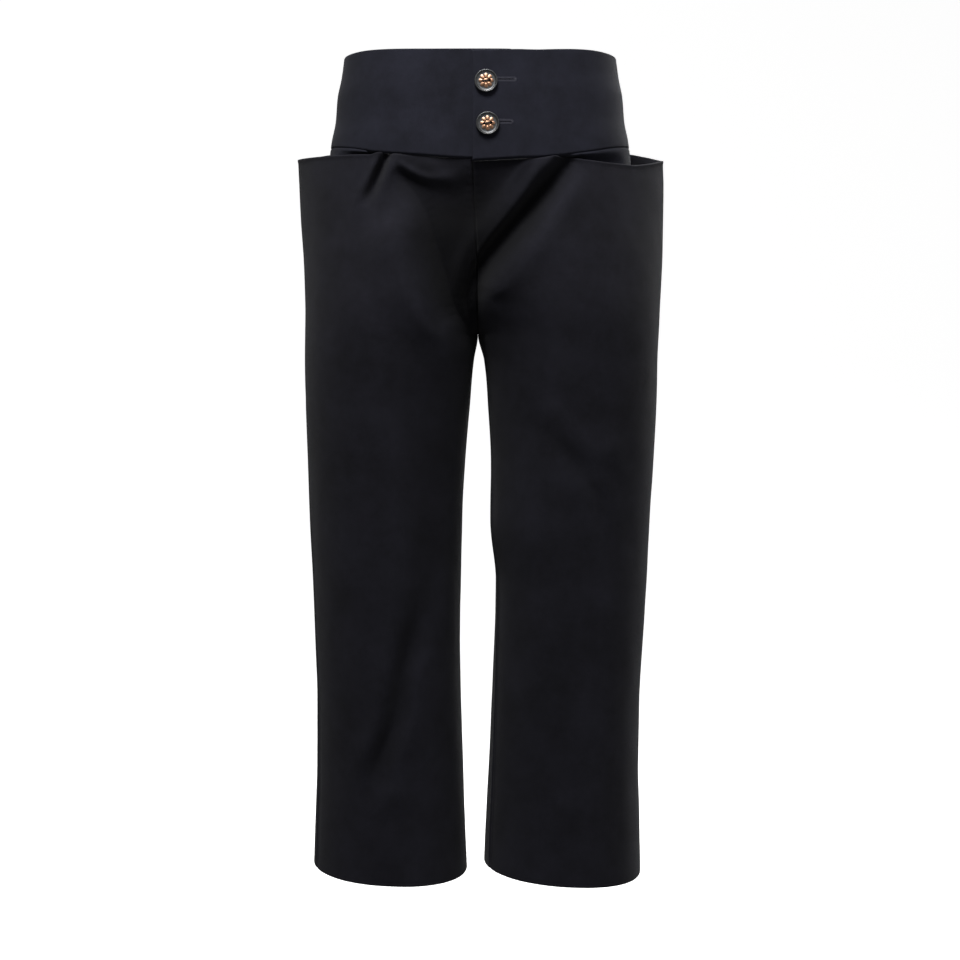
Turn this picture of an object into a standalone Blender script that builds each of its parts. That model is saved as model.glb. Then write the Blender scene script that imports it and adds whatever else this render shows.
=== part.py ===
"""Dress trousers in the hollow form in which they are worn.

A wide contoured waistband, stand-away hip pockets and straight cropped legs.
The front faces -Y, the wearer's left is +X and the origin is the centre of the waistband ring,
50 mm below its top edge. Sizes are in millimetres and become metres when a mesh is made.
"""
import math

import bmesh
import bpy
import numpy as np

MM = 0.001
SEAM_GAP = 0.3
CLOTH_WALL = 1.5
BAND_WALL = 2.8
YOKE_WALL = 1.2
RING_SAMPLES = 120
LEFT = 1
RIGHT = -1

# Levels
CROTCH_LEVEL = -218.0
YOKE_BOTTOM = -184.0
FLY_BOTTOM = -137.0

# Waistband rings: an even curve of this power, with its half width and its front and back depth
BAND_POWER = 2.7
BAND_COLUMNS = ("z", "half_width", "front", "back")
BAND_SECTIONS = (
    (54.0, 133.2, 82.5, 90.5),
    (31.0, 136.3, 85.5, 93.5),
    (14.0, 139.8, 87.8, 96.0),
    (-10.0, 142.0, 90.5, 98.8),
    (-30.0, 146.2, 93.0, 102.0),
    (-58.0, 149.5, 96.0, 106.0),
)

# The band's edges, by the distance from the centre towards the side seam
BAND_TOP = {
    "left": ((-10.0, 48.4), (40.0, 49.4), (108.0, 52.2), (136.0, 50.6)),
    "right": ((-32.0, 50.4), (40.0, 50.6), (108.0, 52.0), (136.0, 50.6)),
    "back": ((0.0, 50.0), (60.0, 50.2), (136.0, 50.6)),
}
BAND_SEAM = {
    "left": ((-10.0, -54.9), (66.0, -50.0), (110.0, -43.6), (130.0, -39.4), (150.0, -36.1)),
    "right": ((-32.0, -52.3), (7.0, -52.1), (60.0, -48.5), (98.0, -45.2), (120.0, -41.2), (150.0, -36.1)),
    "back": ((0.0, -46.0), (60.0, -44.0), (110.0, -40.0), (150.0, -36.1)),
}
BAND_TOP_LEVEL = 50.0
BAND_SEAM_LEVEL = -46.0
OVERLAP_EDGE = -7.0
UNDERLAP_END = 30.0
OVERLAP_RISE = BAND_WALL + SEAM_GAP
OVERLAP_RAMP = (33.0, 58.0)

# Pocket mouths: where each rim leaves the band, and its height from there to the side corner
RIM_START = {
    ("left", "front"): 66.0,
    ("right", "front"): 94.0,
    ("left", "back"): 108.0,
    ("right", "back"): 108.0,
}
RIM_BLEND = 12.0
RIMS = {
    ("left", "front"): (
        (66.0, -50.4), (104.0, -53.5), (127.0, -55.3), (147.0, -55.7), (166.0, -52.3), (181.5, -47.0),
    ),
    ("right", "front"): ((94.0, -49.3), (110.0, -48.0), (135.0, -47.4), (154.0, -47.0), (180.5, -46.0)),
    ("left", "back"): ((108.0, -40.6), (130.0, -37.4), (147.0, -35.2), (166.0, -40.2), (181.5, -47.0)),
    ("right", "back"): ((108.0, -40.6), (130.0, -37.6), (147.0, -36.0), (166.0, -40.6), (180.5, -46.0)),
}

# Hip and leg rings. Widths are measured from x = 0 towards each side. The leg share runs from one body
# ring at 0 to two leg rings at 1, the bulge and the corner are the powers of the ring's curve, and the
# turn is how far the leg's seams have swung round it.
SECTION_COLUMNS = (
    "z", "right_outer", "right_inner", "left_inner", "left_outer",
    "front", "back", "leg_share", "bulge", "corner", "turn",
)
SECTIONS = (
    (-30.0, 180.6, 2.0, -2.0, 181.4, 94.0, 103.4, 0.00, 3.00, 1.25, 0.0),
    (-48.0, 180.4, 2.0, -2.0, 181.6, 96.0, 105.4, 0.00, 3.00, 1.25, 0.0),
    (-70.0, 179.4, 2.0, -2.0, 182.2, 100.0, 110.0, 0.08, 2.80, 1.36, 0.0),
    (-105.0, 177.8, 2.0, -2.0, 181.8, 105.0, 116.0, 0.27, 2.55, 1.55, 0.0),
    (-143.0, 175.2, 2.0, -2.0, 181.0, 108.0, 119.0, 0.56, 2.40, 1.75, 0.0),
    (-180.0, 173.8, 2.0, -2.0, 179.4, 108.0, 117.0, 0.82, 2.30, 1.92, 0.0),
    (-200.0, 173.4, 2.0, -2.0, 178.5, 107.0, 114.0, 0.93, 2.28, 2.00, 0.0),
    (-211.0, 173.4, 2.0, -2.0, 178.0, 106.0, 112.0, 0.975, 2.26, 2.05, 0.0),
    (-218.0, 173.5, 2.0, -2.0, 177.6, 105.0, 111.0, 1.00, 2.25, 2.08, 0.0),
    (-243.0, 173.7, 6.0, 4.0, 176.8, 103.0, 108.0, 1.00, 2.22, 2.10, 2.5),
    (-283.0, 173.0, 10.0, 8.0, 176.0, 99.0, 104.0, 1.00, 2.20, 2.10, 7.0),
    (-343.0, 171.3, 15.0, 11.0, 173.3, 95.0, 99.0, 1.00, 2.20, 2.10, 14.0),
    (-403.0, 169.7, 18.0, 10.0, 169.8, 92.0, 95.0, 1.00, 2.20, 2.10, 20.0),
    (-464.0, 167.1, 19.5, 15.5, 167.1, 90.0, 92.0, 1.00, 2.20, 2.10, 24.0),
    (-525.0, 165.5, 20.2, 14.2, 163.6, 88.0, 90.0, 1.00, 2.20, 2.10, 27.0),
    (-586.0, 164.0, 19.2, 12.0, 160.8, 87.0, 88.0, 1.00, 2.20, 2.10, 30.0),
    (-647.0, 164.2, 17.2, 9.2, 160.2, 86.0, 86.0, 1.00, 2.20, 2.10, 32.0),
    (-709.0, 166.6, 15.2, 6.0, 162.2, 86.0, 85.0, 1.00, 2.20, 2.10, 34.0),
    (-765.0, 169.2, 12.4, 3.2, 163.0, 86.0, 84.0, 1.00, 2.20, 2.10, 36.0),
)

# The panels hold the band's ring as far as this past a rim's start, and down to between these heights
RIM_TO_BAG = 26.0
SECTION_TOP_BLEND = (-64.0, -125.0)

# The centre seams lean: their x at the waist seam, at the fly's end and at the crotch
CENTRE_SEAM = {
    "front": ((-219.0, -2.0), (-137.0, -3.2), (-55.0, -7.0), (-30.0, -7.0)),
    "back": ((-219.0, -2.0), (-137.0, -0.8), (-55.0, 0.0), (-30.0, 0.0)),
}

# Hem heights at the inner and the outer end of each leg
HEMS = {"right": (-756.5, -748.0), "left": (-748.0, -758.5)}
HEM_ENDS = {"right": (12.4, 169.0), "left": (3.2, 163.0)}
HEM_LEVEL = -753.0

# The largest folds of the fronts: half width, depth (a ridge is negative) and the x and z it runs through
FOLDS = {
    "short pleat under the right pocket": (5.0, 3.2, ((-90.0, -50.0), (-100.0, -72.0), (-109.0, -94.0))),
    "right drag line to the crotch": (
        9.0, 4.2,
        ((-75.0, -64.0), (-63.0, -84.0), (-44.0, -110.0), (-35.0, -137.0), (-16.0, -166.0), (-6.0, -207.0)),
    ),
    "left drag line to the fly": (
        8.5, 5.5,
        ((74.0, -60.0), (52.0, -84.0), (38.0, -101.0), (21.0, -123.0), (9.0, -147.0), (4.0, -172.0)),
    ),
    "left ridge beside the drag line": (
        9.0, -3.0, ((90.0, -64.0), (70.0, -97.0), (42.0, -118.0), (16.0, -150.0), (5.0, -178.0)),
    ),
    "left fold below the fly": (7.0, 1.8, ((5.0, -176.0), (28.0, -180.0), (54.0, -184.0))),
    "right leg drop": (
        22.0, 2.2,
        (
            (-55.0, -300.0), (-49.0, -407.0), (-58.0, -472.0), (-69.0, -521.0), (-83.0, -592.0),
            (-104.0, -660.0),
        ),
    ),
    "left leg drop": (26.0, 1.8, ((60.0, -290.0), (72.0, -380.0), (82.0, -470.0), (76.0, -590.0))),
}
# The shares of a fold's length in which it rises and dies away, and how far it stays off the side seam
FOLD_FADE_IN = 0.18
FOLD_FADE_OUT = 0.25
FOLD_SIDE_CLEAR = 40.0

# The pocket's inner wall: how the hip under the band fills out down to its bottom, how far its edges
# lie past the rim's start, and the shares of its width and depth in which it closes on the panels
HIP_FILL = {"half_width": 16.0, "front": 9.0, "back": 8.0}
YOKE_PAST_RIM = 2.0
YOKE_EDGE_SHARE = 0.2
YOKE_CLOSE_FROM = 0.7
YOKE_LOOK_ANGLES = (-0.05, -0.025, 0.0, 0.025, 0.05)
YOKE_LOOK_STEPS = (-7.0, 0.0, 7.0)
YOKE_MARGIN = 0.2

# The strip behind the fly: how far it reaches past the overlap's edge, and its clearances
FLY_OVERHANG = 4.0
FLY_TOP_CLEARANCE = 0.4
FLY_LOOK_STEPS = (-6.0, -3.0, 0.0, 3.0, 6.0)
FLY_MARGIN = 0.6

# Mesh density
FRONT_COLUMNS = 26
BACK_COLUMNS = 15
HIP_STEPS = (0.0, 0.05, 0.12, 0.21, 0.31, 0.42, 0.53, 0.64, 0.75, 0.85, 0.92, 0.97, 1.0)
LEG_STEPS = (0.0, 0.02, 0.05, 0.09, 0.14, 0.20, 0.27, 0.35, 0.43, 0.51, 0.59, 0.67, 0.75, 0.83, 0.91, 1.0)
BAND_ROWS = 5
BAND_FRONT_COLUMNS = 26
BAND_BACK_COLUMNS = 34
YOKE_COLUMNS = 16
YOKE_ROWS = 8
FLY_CELLS = (5, 8)
SHARP_ANGLE = 40.0

# Buttons
BUTTON_DIAMETER = 22.0
BUTTON_THICKNESS = 3.4
BUTTON_HOLE_DIAMETER = 2.0
BUTTON_HOLE_OFFSET = 2.3
BUTTON_CLEARANCE = 0.35
BUTTON_SEGMENTS = 32
# The button's turned outline: how far inside its rim, and how high
BUTTON_OUTLINE = (
    (11.0, 2.4),
    (4.2, 2.4),
    (3.2, 3.2),
    (2.2, 3.4),
    (0.8, 3.0),
    (0.0, 2.0),
    (0.4, 0.6),
    (2.6, 0.0),
    (11.0, 0.0),
)
BUTTONS = {"button_upper": (5.7, 19.9), "button_lower": (7.2, -20.1)}
BUTTONHOLE_LENGTH = 24.0
BUTTONHOLE_HEIGHT = 0.9
BUTTONHOLE_START = 3.0
BUTTONHOLE_RAISE = 2.2

# Colours and finishes
NAVY_LEG = (0.0070, 0.0070, 0.0095)
NAVY_BAND = (0.0095, 0.0098, 0.0150)
BUTTON_METAL = (0.060, 0.065, 0.060)
CLOTH_ROUGHNESS = 0.8
METAL_ROUGHNESS = 0.4
BUTTON_METALLIC = 0.8


def smooth_curve(points, where):
    """The smooth curve through (position, value) points, with no overshoot between them."""
    table = np.array(sorted(points), float)
    xs = table[:, 0]
    ys = table[:, 1]
    steps = np.diff(xs)
    slopes = np.diff(ys) / steps
    tangents = np.zeros(len(xs))
    both = slopes[1:] * slopes[:-1] > 0
    harmonic = 2 * slopes[1:] * slopes[:-1] / np.where(both, slopes[1:] + slopes[:-1], 1.0)
    tangents[1:-1] = np.where(both, harmonic, 0.0)
    tangents[0] = slopes[0]
    tangents[-1] = slopes[-1]
    at = np.clip(where, xs[0], xs[-1])
    i = np.clip(np.searchsorted(xs, at) - 1, 0, len(steps) - 1)
    f = (at - xs[i]) / steps[i]
    rise = (2 * f**3 - 3 * f**2 + 1) * ys[i] + (3 * f**2 - 2 * f**3) * ys[i + 1]
    bend = (f**3 - 2 * f**2 + f) * tangents[i] + (f**3 - f**2) * tangents[i + 1]
    return rise + bend * steps[i]


def section_value(sections, columns, name, z):
    at = columns.index(name)
    return smooth_curve([(row[0], row[at]) for row in sections], z)


def ramp(start, end, where):
    """0 before start and 1 after end, with a smooth step between them."""
    f = np.clip((where - start) / (end - start), 0.0, 1.0)
    return f * f * (3 - 2 * f)


def band_size(name, z):
    return section_value(BAND_SECTIONS, BAND_COLUMNS, name, z)


def band_depth(face, distance, z):
    """How far the band's ring lies in front of or behind x at this distance from the centre."""
    share = np.clip(np.abs(distance) / band_size("half_width", z), 0.0, 1.0)
    return band_size(face, z) * (1 - share**BAND_POWER) ** (1 / BAND_POWER)


def fold_depth(x, z):
    """How deep the folds press the front in at this x and z."""
    total = np.zeros(np.broadcast(x, z).shape)
    for half_width, depth, route in FOLDS.values():
        points = np.array(route)
        lengths = np.hypot(*np.diff(points, axis=0).T)
        run = np.concatenate([[0.0], np.cumsum(lengths)])
        nearest = np.full(total.shape, np.inf)
        along = np.zeros(total.shape)
        for i, length in enumerate(lengths):
            step = points[i + 1] - points[i]
            f = np.clip(((x - points[i, 0]) * step[0] + (z - points[i, 1]) * step[1]) / length**2, 0, 1)
            away = np.hypot(x - points[i, 0] - f * step[0], z - points[i, 1] - f * step[1])
            closer = away < nearest
            along = np.where(closer, (run[i] + f * length) / run[-1], along)
            nearest = np.minimum(nearest, away)
        fade = ramp(0.0, FOLD_FADE_IN, along) * ramp(0.0, FOLD_FADE_OUT, 1 - along)
        total += depth * fade * np.exp(-((nearest / half_width) ** 2))
    return total


def centre_x(face, z):
    return smooth_curve(CENTRE_SEAM[face], z)


def half_ring(side, face, z):
    """The outside of one half of the hip or leg at height z, from its centre or inseam to its side seam,
    as distances from x = 0 towards that side and as y."""
    name = "left" if side == LEFT else "right"
    centre = side * float(centre_x(face, z))
    value = {column: float(section_value(SECTIONS, SECTION_COLUMNS, column, z)) for column in SECTION_COLUMNS}
    outer = value[name + "_outer"]
    inner = (value[name + "_inner"] if z < CROTCH_LEVEL else centre) + SEAM_GAP / 2
    middle = inner + (outer - inner) / 2 * value["leg_share"]
    reach = outer - middle
    start = math.asin(max(-1.0, -(middle - inner) / reach))
    across = np.sin(np.linspace(start, math.pi / 2, RING_SAMPLES))
    distance = middle + reach * across
    depth = value[face] * (1 - np.abs(across) ** value["bulge"]) ** (1 / value["corner"])
    begin = RIM_START[(name, face)]
    near_band = (1 - ramp(begin, begin + RIM_TO_BAG, distance)) * (1 - ramp(*SECTION_TOP_BLEND, z))
    depth = depth + near_band * (band_depth(face, distance, z) - depth)
    if face == "front":
        pressed = fold_depth(side * distance, z) * ramp(0.0, FOLD_SIDE_CLEAR, outer - distance)
        return distance, -(depth - pressed)
    return distance, depth


def whole_ring(side, z):
    """Both halves as one line: down the front from the inseam to the side, and back to the inseam."""
    front = np.stack(half_ring(side, "front", z), axis=1)
    back = np.stack(half_ring(side, "back", z), axis=1)
    return front, back[::-1]


def lengths_along(points):
    return np.concatenate([[0.0], np.cumsum(np.hypot(*np.diff(points, axis=0).T))])


def ring_point(side, face, t, z, inset=SEAM_GAP / 2):
    """The point a share t of the way from the inseam or centre to the side seam, at height z."""
    front, back = whole_ring(side, z)
    front_length = lengths_along(front)[-1]
    back_length = lengths_along(back)[-1]
    turn = side * float(section_value(SECTIONS, SECTION_COLUMNS, "turn", z))
    if face == "front":
        at = turn + inset + t * (front_length - 2 * inset)
    else:
        at = turn - inset - t * (back_length - 2 * inset)
    if turn == 0.0 and face == "back":
        ring = back[::-1]
        at = -at
    elif turn == 0.0:
        ring = front
    else:
        ring = np.concatenate([front, back[1:], front[1:], back[1:]])
        at += front_length + back_length
    run = lengths_along(ring)
    return np.interp(at, run, ring[:, 0]), np.interp(at, run, ring[:, 1])


def panel_top(side, face, distance):
    """The height of a leg panel's top edge: the waist seam, then the pocket's rim."""
    name = "left" if side == LEFT else "right"
    seam = smooth_curve(BAND_SEAM[name if face == "front" else "back"], distance) - SEAM_GAP
    begin = RIM_START[(name, face)]
    rim = smooth_curve(RIMS[(name, face)], distance)
    return seam + ramp(begin, begin + RIM_BLEND, distance) * (rim - seam)


def hem_level(side, distance):
    name = "left" if side == LEFT else "right"
    return np.interp(distance, HEM_ENDS[name], HEMS[name])


def panel_points(side, face, columns):
    """The outer face of a leg panel, row by row from its top edge to its hem."""
    rows = []
    for part, steps in (("hip", HIP_STEPS), ("leg", LEG_STEPS[1:])):
        for step in steps:
            row = []
            for t in np.linspace(0.0, 1.0, columns + 1):
                if part == "hip":
                    top = BAND_SEAM_LEVEL
                    for _ in range(2):
                        top = float(panel_top(side, face, ring_point(side, face, t, top)[0]))
                    z = top + step * (CROTCH_LEVEL - top)
                else:
                    bottom = float(hem_level(side, ring_point(side, face, t, HEM_LEVEL)[0]))
                    z = CROTCH_LEVEL + step * (bottom - CROTCH_LEVEL)
                distance, y = ring_point(side, face, t, z)
                row.append((side * distance, y, z))
            rows.append(row)
    return np.array(rows)


def grid_normals(points, outward):
    """A unit normal at each point of a grid, on the side of the given outward sign."""
    across = np.gradient(points, axis=1)
    down = np.gradient(points, axis=0)
    normal = np.cross(across, down)
    return outward * normal / np.linalg.norm(normal, axis=2, keepdims=True)


def side_walls(side):
    """The outer points and the shared normals of a side's front and back panels."""
    front = panel_points(side, "front", FRONT_COLUMNS)
    back = panel_points(side, "back", BACK_COLUMNS)
    front_normals = grid_normals(front, -side)
    back_normals = grid_normals(back, side)
    hip_rows = len(HIP_STEPS) - 1
    for normals in (front_normals, back_normals):
        normals[:hip_rows, 0, 0] = 0.0
    for edge, rows in ((-1, slice(None)), (0, slice(hip_rows, None))):
        shared = front_normals[rows, edge] + back_normals[rows, edge]
        front_normals[rows, edge] = shared
        back_normals[rows, edge] = shared
    for normals in (front_normals, back_normals):
        normals /= np.linalg.norm(normals, axis=2, keepdims=True)
    return (front, front_normals), (back, back_normals)


def wall_mesh(name, outer, inner):
    """A closed wall between two grids of points, given in millimetres."""
    rows, columns = outer.shape[:2]
    points = np.concatenate([outer.reshape(-1, 3), inner.reshape(-1, 3)]) * MM
    first_inner = rows * columns

    def at(row, column, layer):
        return layer * first_inner + row * columns + column

    faces = []
    for r in range(rows - 1):
        for c in range(columns - 1):
            faces.append((at(r, c, 0), at(r + 1, c, 0), at(r + 1, c + 1, 0), at(r, c + 1, 0)))
            faces.append((at(r, c, 1), at(r, c + 1, 1), at(r + 1, c + 1, 1), at(r + 1, c, 1)))
    for r in range(rows - 1):
        faces.append((at(r, 0, 0), at(r, 0, 1), at(r + 1, 0, 1), at(r + 1, 0, 0)))
        last = columns - 1
        faces.append((at(r, last, 0), at(r + 1, last, 0), at(r + 1, last, 1), at(r, last, 1)))
    for c in range(columns - 1):
        faces.append((at(0, c, 0), at(0, c + 1, 0), at(0, c + 1, 1), at(0, c, 1)))
        last = rows - 1
        faces.append((at(last, c, 0), at(last, c, 1), at(last, c + 1, 1), at(last, c + 1, 0)))
    mesh = bpy.data.meshes.new(name)
    mesh.from_pydata(points.tolist(), [], faces)
    work = bmesh.new()
    work.from_mesh(mesh)
    bmesh.ops.triangulate(work, faces=work.faces[:])
    if work.calc_volume(signed=True) < 0:
        bmesh.ops.reverse_faces(work, faces=work.faces[:])
    work.to_mesh(mesh)
    work.free()
    mesh.shade_smooth()
    mesh.set_sharp_from_angle(angle=math.radians(SHARP_ANGLE))
    return mesh


def add_object(name, mesh, collection, material):
    made = bpy.data.objects.new(name, mesh)
    collection.objects.link(made)
    mesh.materials.append(material)
    return made


def make_material(name, colour, roughness, metallic=0.0):
    material = bpy.data.materials.new(name)
    material.use_nodes = True
    shader = material.node_tree.nodes["Principled BSDF"]
    shader.inputs["Base Color"].default_value = (*colour, 1.0)
    shader.inputs["Roughness"].default_value = roughness
    shader.inputs["Metallic"].default_value = metallic
    return material


def band_stretch(face, z, first, last, columns):
    """Points of the band's ring at height z from x = first to x = last (share 1 is the side seam)."""
    half_width = float(band_size("half_width", z))
    xs = half_width * np.sin(np.linspace(-math.pi / 2, math.pi / 2, 2 * RING_SAMPLES + 1))
    ys = band_depth(face, xs, z) * (-1 if face == "front" else 1)
    ring = np.stack([xs, ys], axis=1)
    run = lengths_along(ring)
    begin = np.interp(first * half_width if abs(first) == 1 else first, xs, run)
    end = np.interp(last * half_width if abs(last) == 1 else last, xs, run)
    begin += SEAM_GAP / 2 if abs(first) == 1 else 0.0
    end -= SEAM_GAP / 2 if abs(last) == 1 else 0.0
    at = np.linspace(begin, end, columns + 1)
    points = np.stack([np.interp(at, run, xs), np.interp(at, run, ys)], axis=1)
    tangent = np.gradient(points, axis=0)
    normal = np.stack([tangent[:, 1], -tangent[:, 0]], axis=1)
    normal /= np.linalg.norm(normal, axis=1, keepdims=True)
    if face == "back":
        normal = -normal
    if abs(first) == 1:
        normal[0] = (-1.0, 0.0)
    if abs(last) == 1:
        normal[-1] = (1.0, 0.0)
    return points, normal


def overlap_rise(x):
    """How far the upper band stands off the ring to clear the band that runs under it."""
    return OVERLAP_RISE * (1 - ramp(*OVERLAP_RAMP, x))


def band_wall(name, part, face, first, last, columns, side):
    """A stretch of the waistband, from its top edge down to the waist seam."""
    outer = np.zeros((BAND_ROWS + 1, columns + 1, 3))
    inner = np.zeros_like(outer)
    edges = []
    for table, level in ((BAND_TOP[part], BAND_TOP_LEVEL), (BAND_SEAM[part], BAND_SEAM_LEVEL)):
        xs = band_stretch(face, level, first, last, columns)[0][:, 0]
        edges.append(smooth_curve(table, side * xs if side else np.abs(xs)))
    for row in range(BAND_ROWS + 1):
        levels = edges[0] + row / BAND_ROWS * (edges[1] - edges[0])
        for column, z in enumerate(levels):
            points, normals = band_stretch(face, float(z), first, last, columns)
            point = points[column]
            normal = normals[column]
            if part == "left":
                point = point + normal * overlap_rise(point[0])
            outer[row, column] = (*point, z)
            inner[row, column] = (*(point - normal * BAND_WALL), z)
    return wall_mesh(name, outer, inner)


def shell_radius(side, angles, z):
    """How far the inside of the hip panels lies from the centre line, less a seam gap, in each direction."""
    found = []
    for face, sign in (("front", -1), ("back", 1)):
        distance, y = half_ring(side, face, z)
        line = np.stack([distance, y], axis=1)
        tangent = np.gradient(line, axis=0)
        normal = np.stack([-tangent[:, 1], tangent[:, 0]], axis=1) * sign
        normal /= np.maximum(np.linalg.norm(normal, axis=1, keepdims=True), 1e-9)
        line = line - normal * (CLOTH_WALL + SEAM_GAP)
        found.append(line if face == "front" else line[::-1])
    line = np.concatenate(found)
    direction = np.arctan2(line[:, 0], -line[:, 1])
    order = np.argsort(direction)
    return np.interp(angles, direction[order], np.hypot(*line.T)[order])


def body_radius(angles, z):
    """The hip under the band: the band's ring, less the seam allowance, filling out downwards."""
    spread = ramp(BAND_SEAM_LEVEL, YOKE_BOTTOM, z)
    inside = CLOTH_WALL + SEAM_GAP
    size = {way: float(band_size(way, z)) - inside + fill * spread for way, fill in HIP_FILL.items()}
    half_width = size["half_width"]
    depth = np.where(np.cos(angles) > 0, size["front"], size["back"])
    shape = np.abs(np.sin(angles) / half_width) ** BAND_POWER + np.abs(np.cos(angles) / depth) ** BAND_POWER
    return shape ** (-1 / BAND_POWER)


def yoke_wall(name, side):
    """The inner wall of a hip pocket, from the waist seam down to where it joins the hip panels."""
    label = "left" if side == LEFT else "right"
    start = RIM_START[(label, "front")] + YOKE_PAST_RIM
    end = RIM_START[(label, "back")] + YOKE_PAST_RIM
    first = math.atan2(start, float(band_depth("front", start, BAND_SEAM_LEVEL)))
    last = math.pi - math.atan2(end, float(band_depth("back", end, BAND_SEAM_LEVEL)))
    outer = np.zeros((YOKE_ROWS + 1, YOKE_COLUMNS + 1, 3))
    inner = np.zeros_like(outer)
    angles = np.linspace(first, last, YOKE_COLUMNS + 1)
    share = np.linspace(0.0, 1.0, YOKE_COLUMNS + 1)
    for row in range(YOKE_ROWS + 1):
        drop = row / YOKE_ROWS
        for column, angle in enumerate(angles):
            face = "front" if math.cos(angle) > 0 else "back"
            part = label if face == "front" else "back"
            reach = float(body_radius(np.array([angle]), BAND_SEAM_LEVEL)[0]) * math.sin(angle)
            top = float(smooth_curve(BAND_SEAM[part], reach)) - SEAM_GAP
            z = top + drop * (YOKE_BOTTOM - top)
            body = float(body_radius(np.array([angle]), z)[0])
            around = angle + np.array(YOKE_LOOK_ANGLES)
            shell = min(float(shell_radius(side, around, z + step).min()) for step in YOKE_LOOK_STEPS)
            shell -= YOKE_MARGIN
            nearest_edge = min(share[column], 1 - share[column])
            free = float(ramp(0.0, YOKE_EDGE_SHARE, nearest_edge) * (1 - ramp(YOKE_CLOSE_FROM, 1.0, drop)))
            radius = min(shell, free * body + (1 - free) * shell)
            if row == 0:
                radius = body
            way = np.array([side * math.sin(angle), -math.cos(angle), 0.0])
            outer[row, column] = way * radius + (0.0, 0.0, z)
            inner[row, column] = way * (radius - YOKE_WALL) + (0.0, 0.0, z)
    return wall_mesh(name, outer, inner)


def front_y(x, z):
    """The y of the outside of the front at this x and z."""
    side = LEFT if x > float(centre_x("front", z)) else RIGHT
    distance, y = half_ring(side, "front", z)
    return float(np.interp(side * x, distance, y))


def fly_wall(name):
    """The strip behind the hidden opening at the centre front."""
    columns, rows = FLY_CELLS
    outer = np.zeros((rows + 1, columns + 1, 3))
    inner = np.zeros_like(outer)
    for row in range(rows + 1):
        for column in range(columns + 1):
            first = OVERLAP_EDGE - FLY_OVERHANG
            x = first + column / columns * (UNDERLAP_END - first)
            top = float(smooth_curve(BAND_SEAM["right"], -x)) - SEAM_GAP - FLY_TOP_CLEARANCE
            z = top + row / rows * (FLY_BOTTOM - top)
            nearby = [front_y(x + step, z) for step in FLY_LOOK_STEPS]
            y = max(nearby) + CLOTH_WALL + SEAM_GAP + FLY_MARGIN
            outer[row, column] = (x, y, z)
            inner[row, column] = (x, y + CLOTH_WALL, z)
    return wall_mesh(name, outer, inner)


def band_lean(x, z):
    """The angle by which the front of the band faces upwards at this height."""
    rise = float(band_depth("front", x, z - 5.0) - band_depth("front", x, z + 5.0))
    return math.atan2(rise, 10.0)


def band_face_y(x, z):
    """The y of the outside of the upper band."""
    return -float(band_depth("front", x, z)) - float(overlap_rise(x))


def button_blank(name, collection, material):
    """A turned button with a raised rim and a sunk middle, its back on z = 0, as an open profile turned."""
    mesh = bpy.data.meshes.new(name)
    points = [((BUTTON_DIAMETER / 2 - inside) * MM, 0.0, height * MM) for inside, height in BUTTON_OUTLINE]
    mesh.from_pydata(points, [(i, i + 1) for i in range(len(points) - 1)], [])
    made = add_object(name, mesh, collection, material)
    turned = made.modifiers.new("Turn", "SCREW")
    turned.steps = BUTTON_SEGMENTS
    turned.render_steps = BUTTON_SEGMENTS
    turned.use_merge_vertices = True
    turned.merge_threshold = 0.00001
    turned.use_normal_calculate = True
    return made


def add_cutter(name, mesh_maker, collection):
    work = bmesh.new()
    mesh_maker(work)
    mesh = bpy.data.meshes.new(name)
    work.to_mesh(mesh)
    work.free()
    cutter = bpy.data.objects.new(name, mesh)
    collection.objects.link(cutter)
    cutter.hide_render = True
    cutter.display_type = "WIRE"
    return cutter


def cut_with(target, cutter):
    cut = target.modifiers.new("Cut " + cutter.name, "BOOLEAN")
    cut.operation = "DIFFERENCE"
    cut.solver = "EXACT"
    cut.object = cutter


def make_buttons(parts, cutters, material, band):
    """Two buttons on the upper band, each with its thread holes, and the buttonhole that it passes."""
    for name, (x, z) in BUTTONS.items():
        lean = band_lean(x, z)
        button = button_blank(name, parts, material)
        off = BUTTON_CLEARANCE
        y = band_face_y(x, z) - off * math.cos(lean)
        turned = (math.pi / 2 - lean, 0.0, 0.0)
        place = (x * MM, y * MM, (z + off * math.sin(lean)) * MM)
        button.rotation_euler = turned
        button.location = place
        for number, across in enumerate((-BUTTON_HOLE_OFFSET, BUTTON_HOLE_OFFSET)):

            def hole(work, across=across):
                bmesh.ops.create_cone(
                    work, cap_ends=True, segments=12, depth=3 * BUTTON_THICKNESS * MM,
                    radius1=BUTTON_HOLE_DIAMETER / 2 * MM, radius2=BUTTON_HOLE_DIAMETER / 2 * MM,
                )
                bmesh.ops.translate(work, verts=work.verts, vec=(across * MM, 0.0, 0.0))

            cutter = add_cutter(f"{name}_hole_{number}", hole, cutters)
            cutter.rotation_euler = turned
            cutter.location = place
            cut_with(button, cutter)

        def slit(work):
            bmesh.ops.create_cube(work, size=1.0)
            size = (BUTTONHOLE_LENGTH * MM, 3 * BAND_WALL * MM, BUTTONHOLE_HEIGHT * MM)
            bmesh.ops.scale(work, verts=work.verts, vec=size)

        cutter = add_cutter(f"{name}_slit", slit, cutters)
        middle = x + BUTTONHOLE_START + BUTTONHOLE_LENGTH / 2
        height = z + BUTTONHOLE_RAISE
        cutter.location = (middle * MM, (band_face_y(middle, height) + BAND_WALL / 2) * MM, height * MM)
        cut_with(band, cutter)


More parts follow.
